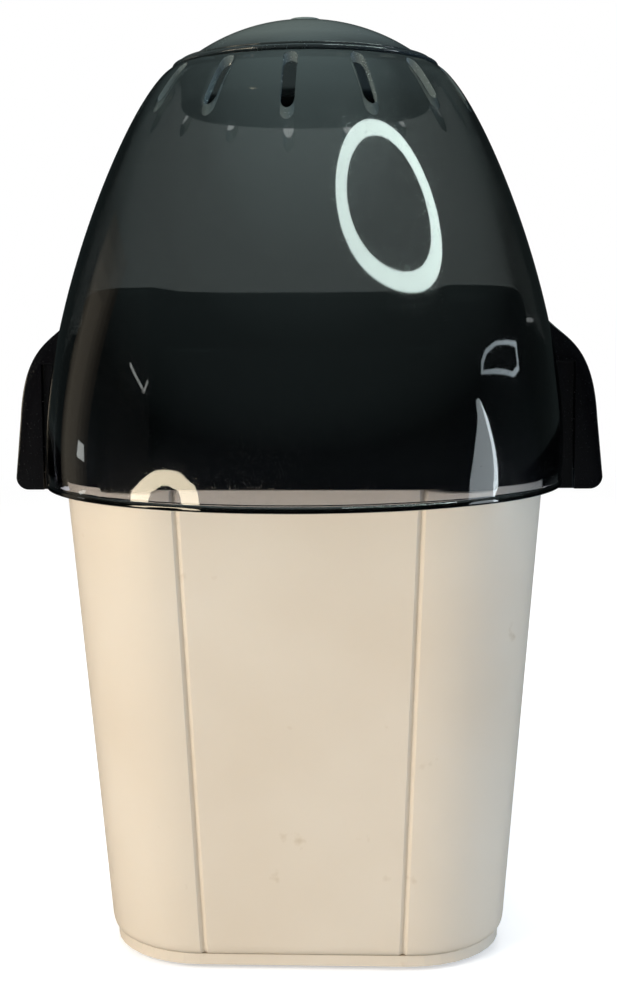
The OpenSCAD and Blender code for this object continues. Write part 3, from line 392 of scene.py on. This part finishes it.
def matt_rubber(name, code):
    """Moulded rubber or silicone, or fired ferrite: matt, with a fine grain and a dusty mottle a few mm across."""
    material, tree, shader = new_material(name)
    where = add(tree, "ShaderNodeTexCoord").outputs["Object"]
    dust = add(tree, "ShaderNodeTexNoise", Vector=where, Scale=per_mm(3), Detail=3.0)
    colour = add(tree, "ShaderNodeValToRGB", stops=[(0.35, srgb(code)), (0.75, toned(code, 1.5, 0.01))], Fac=dust)
    grain = add(tree, "ShaderNodeTexNoise", Vector=where, Scale=per_mm(0.6))
    relief = add(tree, "ShaderNodeBump", Height=grain, Distance=0.05 * MM, Strength=0.5)
    plug(tree, shader, Base_Color=colour, Normal=relief, Roughness=0.75)
    return material


def worked_metal(name, code, roughness, spacing_mm, stretch):
    """Sheet or turned metal: a fine grain of tool or roll marks, drawn as coarse as it needs to show."""
    material, tree, shader = new_material(name)
    where = add(tree, "ShaderNodeTexCoord").outputs["Object"]
    drawn = add(tree, "ShaderNodeMapping", Vector=where, Scale=tuple(per_mm(spacing_mm * s) for s in stretch))
    grain = add(tree, "ShaderNodeTexNoise", Vector=drawn, Scale=1.0, Detail=3.0)
    colour = add(tree, "ShaderNodeValToRGB", stops=[(0.3, toned(code, 0.8)), (0.7, srgb(code))], Fac=grain)
    rough = add(tree, "ShaderNodeMapRange", Value=grain, To_Min=roughness * 0.8, To_Max=roughness * 1.3)
    relief = add(tree, "ShaderNodeBump", Height=grain, Distance=0.03 * MM, Strength=0.4)
    plug(tree, shader, Base_Color=colour, Roughness=rough, Normal=relief, Metallic=1.0)
    return material


def moulded_plastic(name, code, roughness):
    """Injection-moulded plastic, or another even, hard insulator: one colour with a fine grain of 0.5 mm."""
    material, tree, shader = new_material(name)
    where = add(tree, "ShaderNodeTexCoord").outputs["Object"]
    cloud = add(tree, "ShaderNodeTexNoise", Vector=where, Scale=per_mm(12), Detail=2.0)
    stops = [(0.35, srgb(code)), (0.7, toned(code, 1.15, 0.002))]
    colour = add(tree, "ShaderNodeValToRGB", stops=stops, Fac=cloud)
    grain = add(tree, "ShaderNodeTexNoise", Vector=where, Scale=per_mm(0.5), Detail=2.0)
    relief = add(tree, "ShaderNodeBump", Height=grain, Distance=0.02 * MM, Strength=0.5)
    rough = add(tree, "ShaderNodeMapRange", Value=cloud, To_Min=roughness * 0.9, To_Max=roughness * 1.15)
    plug(tree, shader, Base_Color=colour, Roughness=rough, Normal=relief)
    return material


def mica_board():
    """Pressed mica board: flaky layers, gold-brown, with a soft glitter."""
    material, tree, shader = new_material("mica_board")
    where = add(tree, "ShaderNodeTexCoord").outputs["Object"]
    flakes = add(tree, "ShaderNodeTexVoronoi", Vector=where, Scale=per_mm(2.5))
    brown = add(tree, "ShaderNodeValToRGB", stops=[(0.1, srgb("#8E7A4E")), (0.6, srgb("#C6B283"))], Fac=flakes)
    rough = add(tree, "ShaderNodeMapRange", Value=flakes, To_Min=0.25, To_Max=0.55)
    relief = add(tree, "ShaderNodeBump", Height=flakes, Distance=0.05 * MM, Strength=0.5)
    plug(tree, shader, Base_Color=brown, Roughness=rough, Normal=relief)
    return material


# ---------------------------------------------------------------- body

def body_half(width, z):
    """Half the body's width or depth at a height: it gets wider upwards."""
    return width / 2 - (BODY_TOP - z) * math.tan(BODY_DRAFT)


def groove(x, y, side, deep, steps=6):
    """A groove with a round bottom across a wall at (x, y); side is 1 at the back and -1 at the front."""
    spots = [side * GROOVE_W * (0.5 - i / steps) for i in range(1, steps)]
    bottom = [(x + s, y - side * deep * math.cos(math.pi * s / GROOVE_W) ** 1.5) for s in spots]
    return [(x + side * GROOVE_W / 2, y)] + bottom + [(x - side * GROOVE_W / 2, y)]


def body_outline(z, inset, deep, steps=22):
    """The body's section at a height, with grooves beside its four corners."""
    hw, hd = body_half(BODY_W, z), body_half(BODY_D, z)
    r = BODY_CORNER * hw / (BODY_W / 2)
    cx, cy = hw - r, hd - r
    gx = cx - GROOVE_W / 2 - 0.3
    hd_in, r_in = hd - inset, r - inset
    return (arc(cx, cy, r_in, 0, 90, steps) + groove(gx, hd_in, 1, deep) + groove(-gx, hd_in, 1, deep)
            + arc(-cx, cy, r_in, 90, 180, steps) + arc(-cx, -cy, r_in, 180, 270, steps)
            + groove(-gx, -hd_in, -1, deep) + groove(gx, -hd_in, -1, deep) + arc(cx, -cy, r_in, 270, 360, steps))


def back_wall(x, z):
    """A frame on the outside of the back wall: its Z points out and its Y points up."""
    turn = Matrix.Rotation(math.radians(-90) - BODY_DRAFT, 4, "X") @ Matrix.Rotation(math.radians(180), 4, "Z")
    return Matrix.Translation(Vector((x, body_half(BODY_D, z), z)) * MM) @ turn


def make_body(material):
    """The body's shell, open above and below, with holes for the switch and the cord gland in its back."""
    # Heights with how far the wall lies in there: a round foot, a straight wall and a broken top edge.
    outer = [(BODY_BOTTOM, 1.9), (5.2, 1.3), (5.6, 0.8), (6.4, 0.35), (7.4, 0.1), (8.6, 0.0),
             (40.0, 0), (80.0, 0), (120.0, 0), (147.3, 0), (147.8, 0.15), (BODY_TOP, 0.5)]
    rings = [ring(body_outline(z, inset, GROOVE_D), z) for z, inset in outer]
    rings += [ring(body_outline(z, BODY_WALL, 0), z) for z in (BODY_TOP, 100.0, 50.0, BODY_BOTTOM)]
    piece = loft("body_moulding", rings, closed=True)
    through = 9
    switch = rectangle(-SWITCH_W / 2, SWITCH_W / 2, -SWITCH_H / 2, SWITCH_H / 2)
    opening = prism("opening", switch, -through, through)
    opening.matrix_world = back_wall(0, SWITCH_Z)
    hole = prism("hole", circle(GLAND_NECK + 0.1, 60), -through, through)
    hole.matrix_world = back_wall(GLAND_X, GLAND_Z)
    bpy.context.view_layer.update()
    carve(piece, [opening, hole], smooth_deg=CRISP_DEG)
    dress(piece, "base", "cream_shell", material, "body_shell")


# ---------------------------------------------------------------- hood

HOOD_RISE = HOOD_TOP - HOOD_RIM
HOOD_SIDE = [
    (HOOD_W / 2, HOOD_RIM),
    (HOOD_W / 2 + HOOD_FULL, HOOD_RIM + HOOD_FULL_AT * HOOD_RISE),
    (HOOD_TOP_R + HOOD_SHOULDER, HOOD_TOP - HOOD_SHOULDER_AT * HOOD_RISE),
    (HOOD_TOP_R, HOOD_TOP)]


def hood_outline(t, inset, front_steps=84, corner_steps=26):
    """Section t of the hood: a half-round front, flat sides and a squared back, all round at the top."""
    w, z = bezier(HOOD_SIDE, t)
    off = max(0.0, 1 - (z - HOOD_RIM) / HOOD_RISE)
    squared = 1 - (1 - off) ** 2
    front_y = -HOOD_FRONT * off
    back = w - HOOD_BACK * squared - inset
    corner = mix(min(w, back + inset), HOOD_CORNER, squared) - inset
    r = w - inset
    front_gap, back_gap = 90 / front_steps, 45 / corner_steps
    return (arc(0, front_y, r, 180 + front_gap, 360 - front_gap, front_steps)
            + arc(r - corner, back - corner, corner, 0, 90 - back_gap, corner_steps)
            + [(0, back)]
            + arc(corner - r, back - corner, corner, 90 + back_gap, 180, corner_steps))


def hood_inner(t, wall):
    """The ring that lies a wall's thickness inside section t, square to the side's curve."""
    s = bezier_slope(HOOD_SIDE, t)
    size = math.hypot(*s)
    z = bezier(HOOD_SIDE, t)[1]
    return ring(hood_outline(t, wall * s[1] / size), z + wall * s[0] / size)


def hood_rings(steps=46):
    """The hood's rings in order: up the rim's bead and the outside, over the lip, and down the inside."""
    bead = [(0.0, 0.6), (0.15, 0.2), (0.45, 0.0), (RIM_H - 0.6, 0.0), (RIM_H - 0.25, 0.12), (RIM_H, 0.4)]
    rings = [ring(hood_outline(0, inset - RIM_PROUD), HOOD_RIM + dz) for dz, inset in bead]
    ts = [RIM_COVERS + (1 - RIM_COVERS) * i / steps for i in range(steps + 1)]
    rings += [ring(hood_outline(t, 0), bezier(HOOD_SIDE, t)[1]) for t in ts]
    lip = HOOD_TOP_R - MOUTH_R
    rings += [ring(hood_outline(1, lip * 0.8), HOOD_TOP),
              ring(hood_outline(1, lip), HOOD_TOP - 0.3),
              ring(hood_outline(1, lip), HOOD_TOP - HOOD_WALL * 1.3)]
    rings += [hood_inner(t, HOOD_WALL) for t in reversed(ts[:-3])]
    inner = RIM_T - RIM_PROUD
    rings += [ring(hood_outline(0.004, inner - 0.3), HOOD_RIM + RIM_H + 0.1),
              ring(hood_outline(0, inner), HOOD_RIM + RIM_H - 0.5),
              ring(hood_outline(0, inner), HOOD_RIM + 0.4),
              ring(hood_outline(0, inner - 0.4), HOOD_RIM)]
    return rings


def vent_cutter(index):
    """A slot with round ends along a radius; the slots get longer towards the front."""
    turn = math.radians(VENT_TURN + index * 360 / VENTS)
    r = VENT_W / 2
    out = VENT_IN + VENT_LEN + VENT_LONGER * max(0.0, math.cos(turn)) ** 3
    outline = arc(out - r, 0, r, -90, 90, 12) + arc(VENT_IN + r, 0, r, 90, 270, 12)
    cutter = prism("vent", outline, HOOD_RIM + VENT_LOWEST, HOOD_TOP + 20)
    cutter.matrix_world = Matrix.Rotation(turn - math.radians(90), 4, "Z")
    return cutter


def notch_cutter():
    """The notches that let the hood down over the grips."""
    half, top, r = GRIP_W / 2 + NOTCH_GAP, GRIP_TOP + NOTCH_GAP, NOTCH_CORNER
    low, past = HOOD_RIM - 5, 120
    outline = ([(GRIP_Y - half, low), (GRIP_Y + half, low)]
               + arc(GRIP_Y + half - r, top - r, r, 0, 90, 8) + arc(GRIP_Y - half + r, top - r, r, 90, 180, 8))
    return prism("notch", outline, -past, past, axis="X")


def make_hood(material, slot_highlight_material):
    """The walls of the slots are paler than the hood, a painted highlight along the slots' edges."""
    piece = loft("hood_moulding", hood_rings(), closed=True)
    tools = [vent_cutter(i) for i in range(VENTS)] + [notch_cutter()]
    bpy.context.view_layer.update()
    carve(piece, tools)
    soften(piece, HOOD_EDGE_R, segments=2, angle=55, smooth_deg=CRISP_DEG)
    piece.visible_shadow = False
    dress(piece, "hood", "smoked_clear", material, "hood")
    piece.data.materials.append(slot_highlight_material)
    # Upright faces by the slots take the paler material: the painted highlight on the slots' walls.
    for face in piece.data.polygons:
        x, y, z = face.center / MM
        upright = abs(face.normal.z) < 0.02
        by_slot = z > HOOD_RIM + VENT_LOWEST and math.hypot(x, y) > VENT_IN - 0.3
        face.material_index = 1 if upright and by_slot else 0


# ---------------------------------------------------------------- cup and cap

def make_cup(material):
    """A flat measuring cup whose flange rests on the hood's mouth."""
    inner, inner_foot_r, edge = CUP_R - CUP_WALL, CUP_WALL, FLANGE_EDGE_R
    profile = ([(0, CUP_BOTTOM)] + arc(CUP_R - CUP_FOOT_R, CUP_BOTTOM + CUP_FOOT_R, CUP_FOOT_R, -90, 0, 8)
               + [(CUP_R, CUP_SEAT - 0.6), (CUP_R + 0.6, CUP_SEAT)]
               + arc(CUP_FLANGE - edge, CUP_SEAT + edge, edge, -90, 0, 6)
               + arc(CUP_FLANGE - edge, CUP_TOP - edge, edge, 0, 90, 6)
               + arc(inner + CUP_LIP_R, CUP_TOP - CUP_LIP_R, CUP_LIP_R, 90, 180, 4)
               + arc(inner - inner_foot_r, CUP_BOTTOM + CUP_WALL + inner_foot_r, inner_foot_r, 0, -90, 8)
               + [(0, CUP_BOTTOM + CUP_WALL)])
    piece = revolve("cup_moulding", profile)
    dress(piece, "cup", "cup_smoked", material, "measuring_cup")


def make_cap(material):
    """A shallow dome with a round edge, a spigot that stands in the cup's mouth, and a flat pad at the crown."""
    foot_r = CAP_R - DOME_INSET
    centre = CAP_SEAT + 0.1 - math.sqrt(DOME_R ** 2 - foot_r ** 2)
    spigot_r, spigot_low = CUP_R - CUP_WALL - SPIGOT_GAP, CUP_SEAT

    def dome(radius, r_from, r_to, steps):
        rs = [mix(r_from, r_to, i / steps) for i in range(steps + 1)]
        return [(r, centre + math.sqrt(radius ** 2 - r ** 2)) for r in rs]

    top = centre + DOME_R
    inner_r = spigot_r - CAP_WALL
    profile = (dome(DOME_R - CAP_WALL, 0, inner_r, 24)
               + [(inner_r, spigot_low + 0.3), (inner_r + 0.3, spigot_low), (spigot_r - 0.4, spigot_low),
                  (spigot_r, spigot_low + 0.4), (spigot_r, CAP_SEAT - 0.2), (spigot_r + 0.2, CAP_SEAT)]
               + arc(CAP_R - CAP_EDGE_R, CAP_SEAT + CAP_EDGE_R, CAP_EDGE_R, -90, 90, 8)
               + dome(DOME_R, foot_r - 0.9, PAD_R + 1.0, 40)
               + [(PAD_R + 0.35, top + 0.1), (PAD_R, top + 0.45), (PAD_R - 0.35, top + PAD_H), (0, top + PAD_H)])
    piece = revolve("cap_moulding", profile)
    dress(piece, "cap", "cap_smoked", material, "cup_cap")


# ---------------------------------------------------------------- grips

def grip_curve(d, steps=28):
    """The grip's outer profile as (x, z), moved in and down by d."""
    p = [(GRIP_IN - 1 - d, GRIP_TOP - d), (GRIP_IN + 5 - d, GRIP_TOP - 6 - d),
         (GRIP_OUT - GRIP_LEAN - 1.6 - d, GRIP_TOP - 8 - d), (GRIP_OUT - GRIP_LEAN - d, GRIP_TOP - 30 - d)]
    return [bezier(p, i / steps) for i in range(steps + 1)]


def deck_half(z):
    """Half the top housing's width at a height: it gets narrower upwards."""
    return BODY_W / 2 - (z - BODY_TOP) * math.tan(DECK_DRAFT)


def make_grip(name, side, material, node):
    """A hollow grip on the housing's side, open below, with a step at both ends; side is 1 on the right."""
    step_z = SKIRT_TOP + 0.1
    section = ([(deck_half(GRIP_TOP - 5), GRIP_TOP - 5)] + grip_curve(0)
               + arc(GRIP_OUT - GRIP_CORNER, GRIP_BOTTOM + GRIP_CORNER, GRIP_CORNER, 0, -90, 10)
               + [(GRIP_IN, GRIP_BOTTOM), (GRIP_IN, step_z), (deck_half(step_z), step_z)])
    low = GRIP_BOTTOM - 3
    limit = GRIP_IN + GRIP_WALL
    pocket = ([(limit, GRIP_TOP - POCKET_DOWN - 6)]
              + [p for p in grip_curve(GRIP_WALL) if p[0] > limit and p[1] < GRIP_TOP - POCKET_DOWN]
              + [(GRIP_OUT - GRIP_WALL, GRIP_BOTTOM + 6), (GRIP_OUT - GRIP_WALL, low), (limit, low)])
    half = GRIP_W / 2
    hollow = half - GRIP_WALL - GRIP_STEP
    piece = prism(name, [(side * x, z) for x, z in section], GRIP_Y - half, GRIP_Y + half, axis="Y")
    tools = [prism("pocket", [(side * x, z) for x, z in pocket], GRIP_Y - hollow, GRIP_Y + hollow, axis="Y")]
    step_out = mix(GRIP_IN, GRIP_OUT, STEP_REACH)
    step = rectangle(side * (GRIP_IN - 1), side * step_out, low, GRIP_TOP - STEP_DOWN)
    for end in (-1, 1):
        y = GRIP_Y + end * half
        tools.append(prism("step", step, y - GRIP_STEP, y + GRIP_STEP, axis="Y"))
    carve(piece, tools)
    soften(piece, GRIP_EDGE_R, segments=4, angle=45)
    dress(piece, "base", "black_housing", material, node)


# ---------------------------------------------------------------- on and off marks

MARK_R, MARK_LINE, MARK_H = 1.3, 0.5, 0.12


def make_switch_marks(material):
    """A bar and a ring on the rocker, the usual marks for on and off."""
    bar = prism("on_mark", rectangle(-MARK_LINE / 2, MARK_LINE / 2, -MARK_R, MARK_R), 0, MARK_H)
    outer, inner = circle(MARK_R, 48), circle(MARK_R - 0.45, 48)
    rings = [ring(outer, 0), ring(outer, MARK_H), ring(inner, MARK_H), ring(inner, 0)]
    loop = loft("off_mark", rings, closed=True)
    rocker = (back_wall(0, SWITCH_Z) @ Matrix.Translation((0, 0, ROCKER_PIN * MM))
              @ Matrix.Rotation(ROCKER_TILT, 4, "X"))
    for piece, up in ((bar, 1), (loop, -1)):
        spot = Vector((0, up * ROCKER_HALF / 2, ROCKER_CROWN - ROCKER_PIN - ROCKER_DIP / 2)) * MM
        lean = Matrix.Rotation(up * math.atan2(ROCKER_DIP, ROCKER_HALF), 4, "X")
        piece.data.transform(rocker @ Matrix.Translation(spot) @ lean)
        dress(piece, "rocker", "rocker_black", material)


# ---------------------------------------------------------------- light and stage

# Lamps: place and the height aimed at, in metres, then size, watts and colour.
LAMPS = {
    "key": ((-0.75, -0.7, 0.6), 0.14, 0.5, 9.4, "#FFF8EF"),
    "fill": ((0.85, -0.35, 0.35), 0.14, 0.5, 2.5, "#BEDCFF"),
    "side": ((0.9, 0.15, 0.3), 0.14, 0.4, 1.3, "#80C4FF"),
    "back": ((0.1, 0.8, 0.8), 0.2, 0.6, 4.0, "#FFFFFF"),
}

# The ring lamp above on the right: its middle, two directions across it, and its half axes outside and inside.
RING_MIDDLE, RING_LONG, RING_SHORT = (0.350, -0.231, 0.707), (-0.747, -0.591, 0.305), (-0.399, 0.765, 0.505)
RING_OUTSIDE, RING_INSIDE = (0.248, 0.154), (0.193, 0.117)

# Outlines of the cards that only gloss shows, in metres. The arch lies low on the left, as (along, up) from
# ARCH_START; the others stand at RIGHT_X or LEFT_X, as (y, z).
ARCH_START, ARCH_ALONG = (-0.55, -0.40), (0.522, -0.853)
ARCH = [
    (-0.20, 0.11), (-0.185, 0.145), (-0.155, 0.165), (-0.12, 0.191), (-0.072, 0.221), (-0.033, 0.239),
    (0.012, 0.247), (0.061, 0.254), (0.097, 0.25), (0.134, 0.233), (0.17, 0.218), (0.19, 0.185), (0.2, 0.15),
    (0.205, 0.11), (0.105, 0.11), (0.102, 0.15), (0.091, 0.174), (0.084, 0.184), (0.066, 0.189),
    (0.033, 0.196), (0.016, 0.194), (-0.007, 0.191), (-0.028, 0.178), (-0.05, 0.165), (-0.066, 0.158),
    (-0.082, 0.14), (-0.086, 0.11)]
RIGHT_X, LEFT_X = 0.65, -0.6
WINDOW = [
    (-0.15, 0.367), (-0.155, 0.327), (-0.198, 0.256), (-0.232, 0.17), (-0.235, 0.1), (-0.045, 0.1),
    (-0.052, 0.166), (-0.063, 0.22), (-0.091, 0.306), (-0.13, 0.367)]
WINDOW_EDGE = [
    (-0.115, 0.33), (-0.088, 0.24), (-0.08, 0.17), (-0.08, 0.1), (-0.05, 0.1), (-0.055, 0.166),
    (-0.066, 0.22), (-0.094, 0.306), (-0.125, 0.36)]
SHELF = [
    (-0.088, 0.402), (-0.07, 0.424), (-0.026, 0.432), (0.052, 0.421), (0.154, 0.394), (0.225, 0.374),
    (0.195, 0.328), (0.135, 0.33), (0.03, 0.364)]
SHELF_HOLE = [
    (-0.07, 0.404), (-0.058, 0.416), (-0.024, 0.422), (0.05, 0.413), (0.15, 0.386), (0.205, 0.368),
    (0.188, 0.339), (0.132, 0.341), (0.03, 0.375)]
GLINT = [(-0.13, 0.416), (-0.25, 0.405), (-0.262, 0.437), (-0.25, 0.437), (-0.243, 0.413), (-0.13, 0.423)]
LOW_GLINT = [(0.08, 0.166), (0.15, 0.166), (0.14, 0.2), (0.09, 0.2)]
# The left wall's brightness falls off in layers, each a little larger and further away.
WALL_LAYERS = (0.3, 0.22, 0.15, 0.08)

# The room's brightness in gloss, from straight down, 0, to straight up, 1, and what matt surfaces get of it.
ROOM = [(0.32, grey(0.02)), (0.5, grey(0.12)), (0.65, grey(0.17)), (0.8, grey(0.32)), (1.0, grey(1.0))]
ROOM_SOFT = 0.48

FLOOR_HALF = 4000
# Between these distances from the object, in metres, the floor turns from lit paper to plain white.
FLOOR_FADE = {"From_Min": 0.2, "From_Max": 1.4}


def add_lamp(name, location, aim_height, size, watts, colour):
    """A square lamp that lights matt surfaces and is never seen, straight or in gloss."""
    data = bpy.data.lights.new(name, "AREA")
    data.size = size
    data.energy = watts
    data.color = srgb(colour)[:3]
    lamp = bpy.data.objects.new(name, data)
    bpy.context.scene.collection.objects.link(lamp)
    lamp.location = location
    for kind in ("camera", "glossy", "transmission"):
        setattr(lamp, "visible_" + kind, False)
    lamp.rotation_euler = (Vector((0, 0, aim_height)) - Vector(location)).to_track_quat("-Z", "Y").to_euler()


def add_glow(name, strength, colour, outer, inner=()):
    """A bright shape that only gloss shows; inner, of the same length as outer, leaves the middle open."""
    bm = bmesh.new()
    loops = [[bm.verts.new(Vector(p) / MM) for p in loop] for loop in (outer, inner) if loop]
    if inner:
        for k in range(len(outer)):
            m = (k + 1) % len(outer)
            bm.faces.new((loops[0][k], loops[0][m], loops[1][m], loops[1][k]))
    else:
        bm.faces.new(loops[0])
    card = finish_mesh(name, bm)
    material, tree, shader = new_material(name + "_glow")
    plug(tree, shader, Base_Color=grey(0), Specular_IOR_Level=0.0,
         Emission_Color=srgb(colour), Emission_Strength=strength)
    card.data.materials.append(material)
    for kind in ("camera", "diffuse", "transmission", "volume_scatter", "shadow"):
        setattr(card, "visible_" + kind, False)


def ring_loop(half_axes, steps=72):
    """An ellipse about the ring lamp's middle."""
    middle, long, short = Vector(RING_MIDDLE), Vector(RING_LONG).normalized(), Vector(RING_SHORT).normalized()
    turns = [2 * math.pi * k / steps for k in range(steps)]
    return [middle + long * (half_axes[0] * math.cos(a)) + short * (half_axes[1] * math.sin(a)) for a in turns]


def card_at(x, outline):
    """An outline of (y, z) points, stood up at x."""
    return [(x, y, z) for y, z in outline]


def add_glows():
    """What the gloss shows: the ring lamp and its weaker twin low on the left, a window and a shelf on the right,
    and two glints before a dim wall on the left."""
    add_glow("ring_lamp", 14.5, "#E6FAF4", ring_loop(RING_OUTSIDE), ring_loop(RING_INSIDE))
    arch = [(ARCH_START[0] + ARCH_ALONG[0] * along, ARCH_START[1] + ARCH_ALONG[1] * along, up)
            for along, up in ARCH]
    add_glow("low_ring_lamp", 13.0, "#FFF0D2", arch)
    add_glow("right_window", 3.5, "#E4F0F6", card_at(RIGHT_X, WINDOW))
    add_glow("right_window_edge", 12.0, "#E4F0F6", card_at(RIGHT_X - 0.005, WINDOW_EDGE))
    add_glow("right_shelf_edge", 3.5, "#D8E8F0", card_at(RIGHT_X, SHELF), card_at(RIGHT_X, SHELF_HOLE))
    add_glow("left_glint", 3.5, "#F0F4F0", card_at(LEFT_X, GLINT))
    add_glow("left_low_glint", 3.0, "#F0F4F0", card_at(LEFT_X, LOW_GLINT))
    for layer, level in enumerate(WALL_LAYERS):
        wall = rectangle(0.16 - 0.03 * layer, 0.30 + 0.03 * layer, 0.05, 0.42 + 0.04 * layer)
        add_glow("left_wall_%d" % layer, level, "#F0E4CC", card_at(LEFT_X - 0.01 * layer, wall))


def seen_straight(tree):
    """Two masks: rays from the camera that only met clear plastic on their way, and rays that were reflected."""
    path = add(tree, "ShaderNodeLightPath")
    depth = path.outputs["Glossy Depth"]
    direct = add(tree, "ShaderNodeMath", {"operation": "LESS_THAN"}, _0=depth, _1=0.5)
    through = add(tree, "ShaderNodeMath", {"operation": "MULTIPLY"},
                  _0=path.outputs["Is Transmission Ray"], _1=direct)
    seen = add(tree, "ShaderNodeMath", {"operation": "MAXIMUM"}, _0=path.outputs["Is Camera Ray"], _1=through)
    reflected = add(tree, "ShaderNodeMath", {"operation": "GREATER_THAN"}, _0=depth, _1=0.5)
    return seen, reflected


def set_world():
    """White where the camera looks, straight or through clear plastic, and a darker room for light and gloss."""
    world = bpy.data.worlds.new("studio")
    bpy.context.scene.world = world
    world.use_nodes = True
    tree = world.node_tree
    seen, reflected = seen_straight(tree)
    direction = add(tree, "ShaderNodeTexCoord").outputs["Generated"]
    height = add(tree, "ShaderNodeSeparateXYZ", Vector=direction).outputs["Z"]
    room = add(tree, "ShaderNodeValToRGB", stops=ROOM, Fac=height)
    soft = add(tree, "ShaderNodeMix", {"data_type": "FLOAT"}, _0=reflected, _2=ROOM_SOFT, _3=room)
    level = add(tree, "ShaderNodeMix", {"data_type": "FLOAT"}, _0=seen, _2=soft, _3=1.0)
    tint = add(tree, "ShaderNodeMix", {"data_type": "RGBA"}, _0=reflected, _6=grey(1), _7=srgb("#D2F0F0"))
    plug(tree, tree.nodes["Background"], Strength=level, Color=tint.outputs[2])


def add_floor():
    """A wide pale floor that reads as white, apart from the soft shadow under the object."""
    bm = bmesh.new()
    bmesh.ops.create_grid(bm, x_segments=2, y_segments=2, size=FLOOR_HALF)
    floor = finish_mesh("floor", bm)
    material, tree, shader = new_material("floor_paper")
    seen, reflected = seen_straight(tree)
    where = add(tree, "ShaderNodeTexCoord").outputs["Object"]
    away = add(tree, "ShaderNodeVectorMath", {"operation": "LENGTH"}, _0=where).outputs["Value"]
    paper = add(tree, "ShaderNodeMapRange", Value=away, To_Min=0.8, To_Max=0.0, **FLOOR_FADE)
    in_gloss = add(tree, "ShaderNodeMapRange", Value=reflected, To_Min=1.0, To_Max=0.1)
    shown = add(tree, "ShaderNodeMath", {"operation": "MULTIPLY"}, _0=paper, _1=in_gloss)
    white = add(tree, "ShaderNodeMapRange", Value=away, To_Min=0.45, To_Max=1.0, **FLOOR_FADE)
    glow = add(tree, "ShaderNodeMath", {"operation": "MULTIPLY"}, _0=seen, _1=white)
    plug(tree, shader, Base_Color=shown, Roughness=0.9, Specular_IOR_Level=0.0,
         Emission_Color=grey(1), Emission_Strength=glow)
    floor.data.materials.append(material)


# ---------------------------------------------------------------- the whole thing

add_camera()
bpy.context.scene.view_settings.view_transform = "Standard"
set_world()
add_floor()
for lamp, settings in LAMPS.items():
    add_lamp(lamp, *settings)
add_glows()

cream = moulded_polypropylene()
black = gloss_black_phenolic()
# Painted light and shade in one even smoke: the rim is nearly black, painted shade in its bead; just above it the
# hood is nearly clear, painting light on the body seen through it; and the hood gets darker as it rises, painted
# shade.
smoked = smoked_polycarbonate("smoked_polycarbonate", [
    (0.0, "#0C0E0F"), (1.3, "#0C0E0F"), (1.9, "#C6C7D0"), (9.0, "#BDBEC4"), (20.0, "#9AA0A1"), (40.0, "#797D7C")],
    0.03)
# A paler, half-clear smoke for the slots' walls: a painted highlight along their edges.
slot_painted_highlight = smoked_polycarbonate("smoked_polycarbonate_edge_highlight", [(0.0, "#7C8886"), (60.0, "#7C8886")], 0.15, 0.5)
# Painted shade and light: the cup's floor is darker than its wall, painted shade; the cap is darker at its low
# edge, painted shade, and gets paler towards its crown, painted light.
cup_smoke = smoked_polycarbonate("smoked_polycarbonate_cup", [
    (0.0, "#1C2426"), (116.4, "#1C2426"), (117.4, "#505C5E"), (130.0, "#505C5E")], 0.06, 0.7)
cap_smoke = smoked_polycarbonate("smoked_polycarbonate_cap", [
    (0.0, "#3A4242"), (131.0, "#3A4242"), (135.0, "#6C7876"), (140.0, "#7D8A86")], 0.1, 0.35)

make_body(cream)
make_hood(smoked, slot_painted_highlight)
make_cup(cup_smoke)
make_cap(cap_smoke)
make_grip("right_grip_moulding", 1, black, "right_grip")
make_grip("left_grip_moulding", -1, black, "left_grip")
make_switch_marks(moulded_plastic("white_pad_print", "#E6E6E2", 0.5))

# How long a metal's grain runs along X, Y and Z: the same each way, up and down, or around a turned piece.
EVEN, UPWARD, AROUND = (1, 1, 1), (1, 1, 30), (30, 30, 1)
zinc = worked_metal("zinc_plated_steel", "#B9BABC", 0.32, 0.4, EVEN)
dark_nylon = moulded_plastic("glass_filled_nylon", "#262424", 0.5)
gloss_nylon = moulded_plastic("gloss_black_nylon", "#101012", 0.28)

NODE_FINISHES = {
    "base_plate": cream,
    "foot_pads": matt_rubber("moulded_rubber", "#1B1B1C"),
    "base_screws": zinc, "chamber_screws": zinc, "motor_screws": zinc,
    "top_housing": black,
    "popping_chamber": worked_metal("pressed_aluminium", "#D2D3D6", 0.28, 0.5, UPWARD),
    "chamber_gasket": matt_rubber("silicone_rubber", "#8A2A1C"),
    "air_duct": worked_metal("aluminised_sheet", "#B4B6B8", 0.4, 1.5, EVEN),
    "mica_frame": mica_board(),
    "heater_coils": worked_metal("oxidised_resistance_wire", "#6E625A", 0.45, 0.4, EVEN),
    "thermostat": worked_metal("nickel_plated_steel", "#C4C2BC", 0.25, 0.5, EVEN),
    "thermal_fuse": moulded_plastic("glazed_ceramic", "#DDDAD0", 0.2),
    "fan_housing": dark_nylon, "motor_end_cap": dark_nylon, "cord_gland": gloss_nylon, "gland_nut": gloss_nylon,
    "impeller": worked_metal("stamped_aluminium", "#C9CACC", 0.3, 0.5, EVEN),
    "motor_shaft": worked_metal("ground_steel", "#C2C3C6", 0.18, 0.3, AROUND),
    "motor_armature": worked_metal("varnished_copper", "#9A5B34", 0.35, 0.5, UPWARD),
    "motor_magnets": matt_rubber("sintered_ferrite", "#303032"),
    "motor_can": zinc,
    "motor_bushes": worked_metal("sintered_bronze", "#A87C46", 0.45, 0.4, EVEN),
    "rectifier_board": moulded_plastic("glass_fibre_board", "#1E5A34", 0.35),
    "rectifier_diodes": moulded_plastic("moulded_epoxy", "#151515", 0.35),
    "switch_housing": gloss_nylon, "switch_rocker": gloss_nylon,
}
for node, material in NODE_FINISHES.items():
    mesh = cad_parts[node].data
    mesh.materials.clear()
    mesh.materials.append(material)
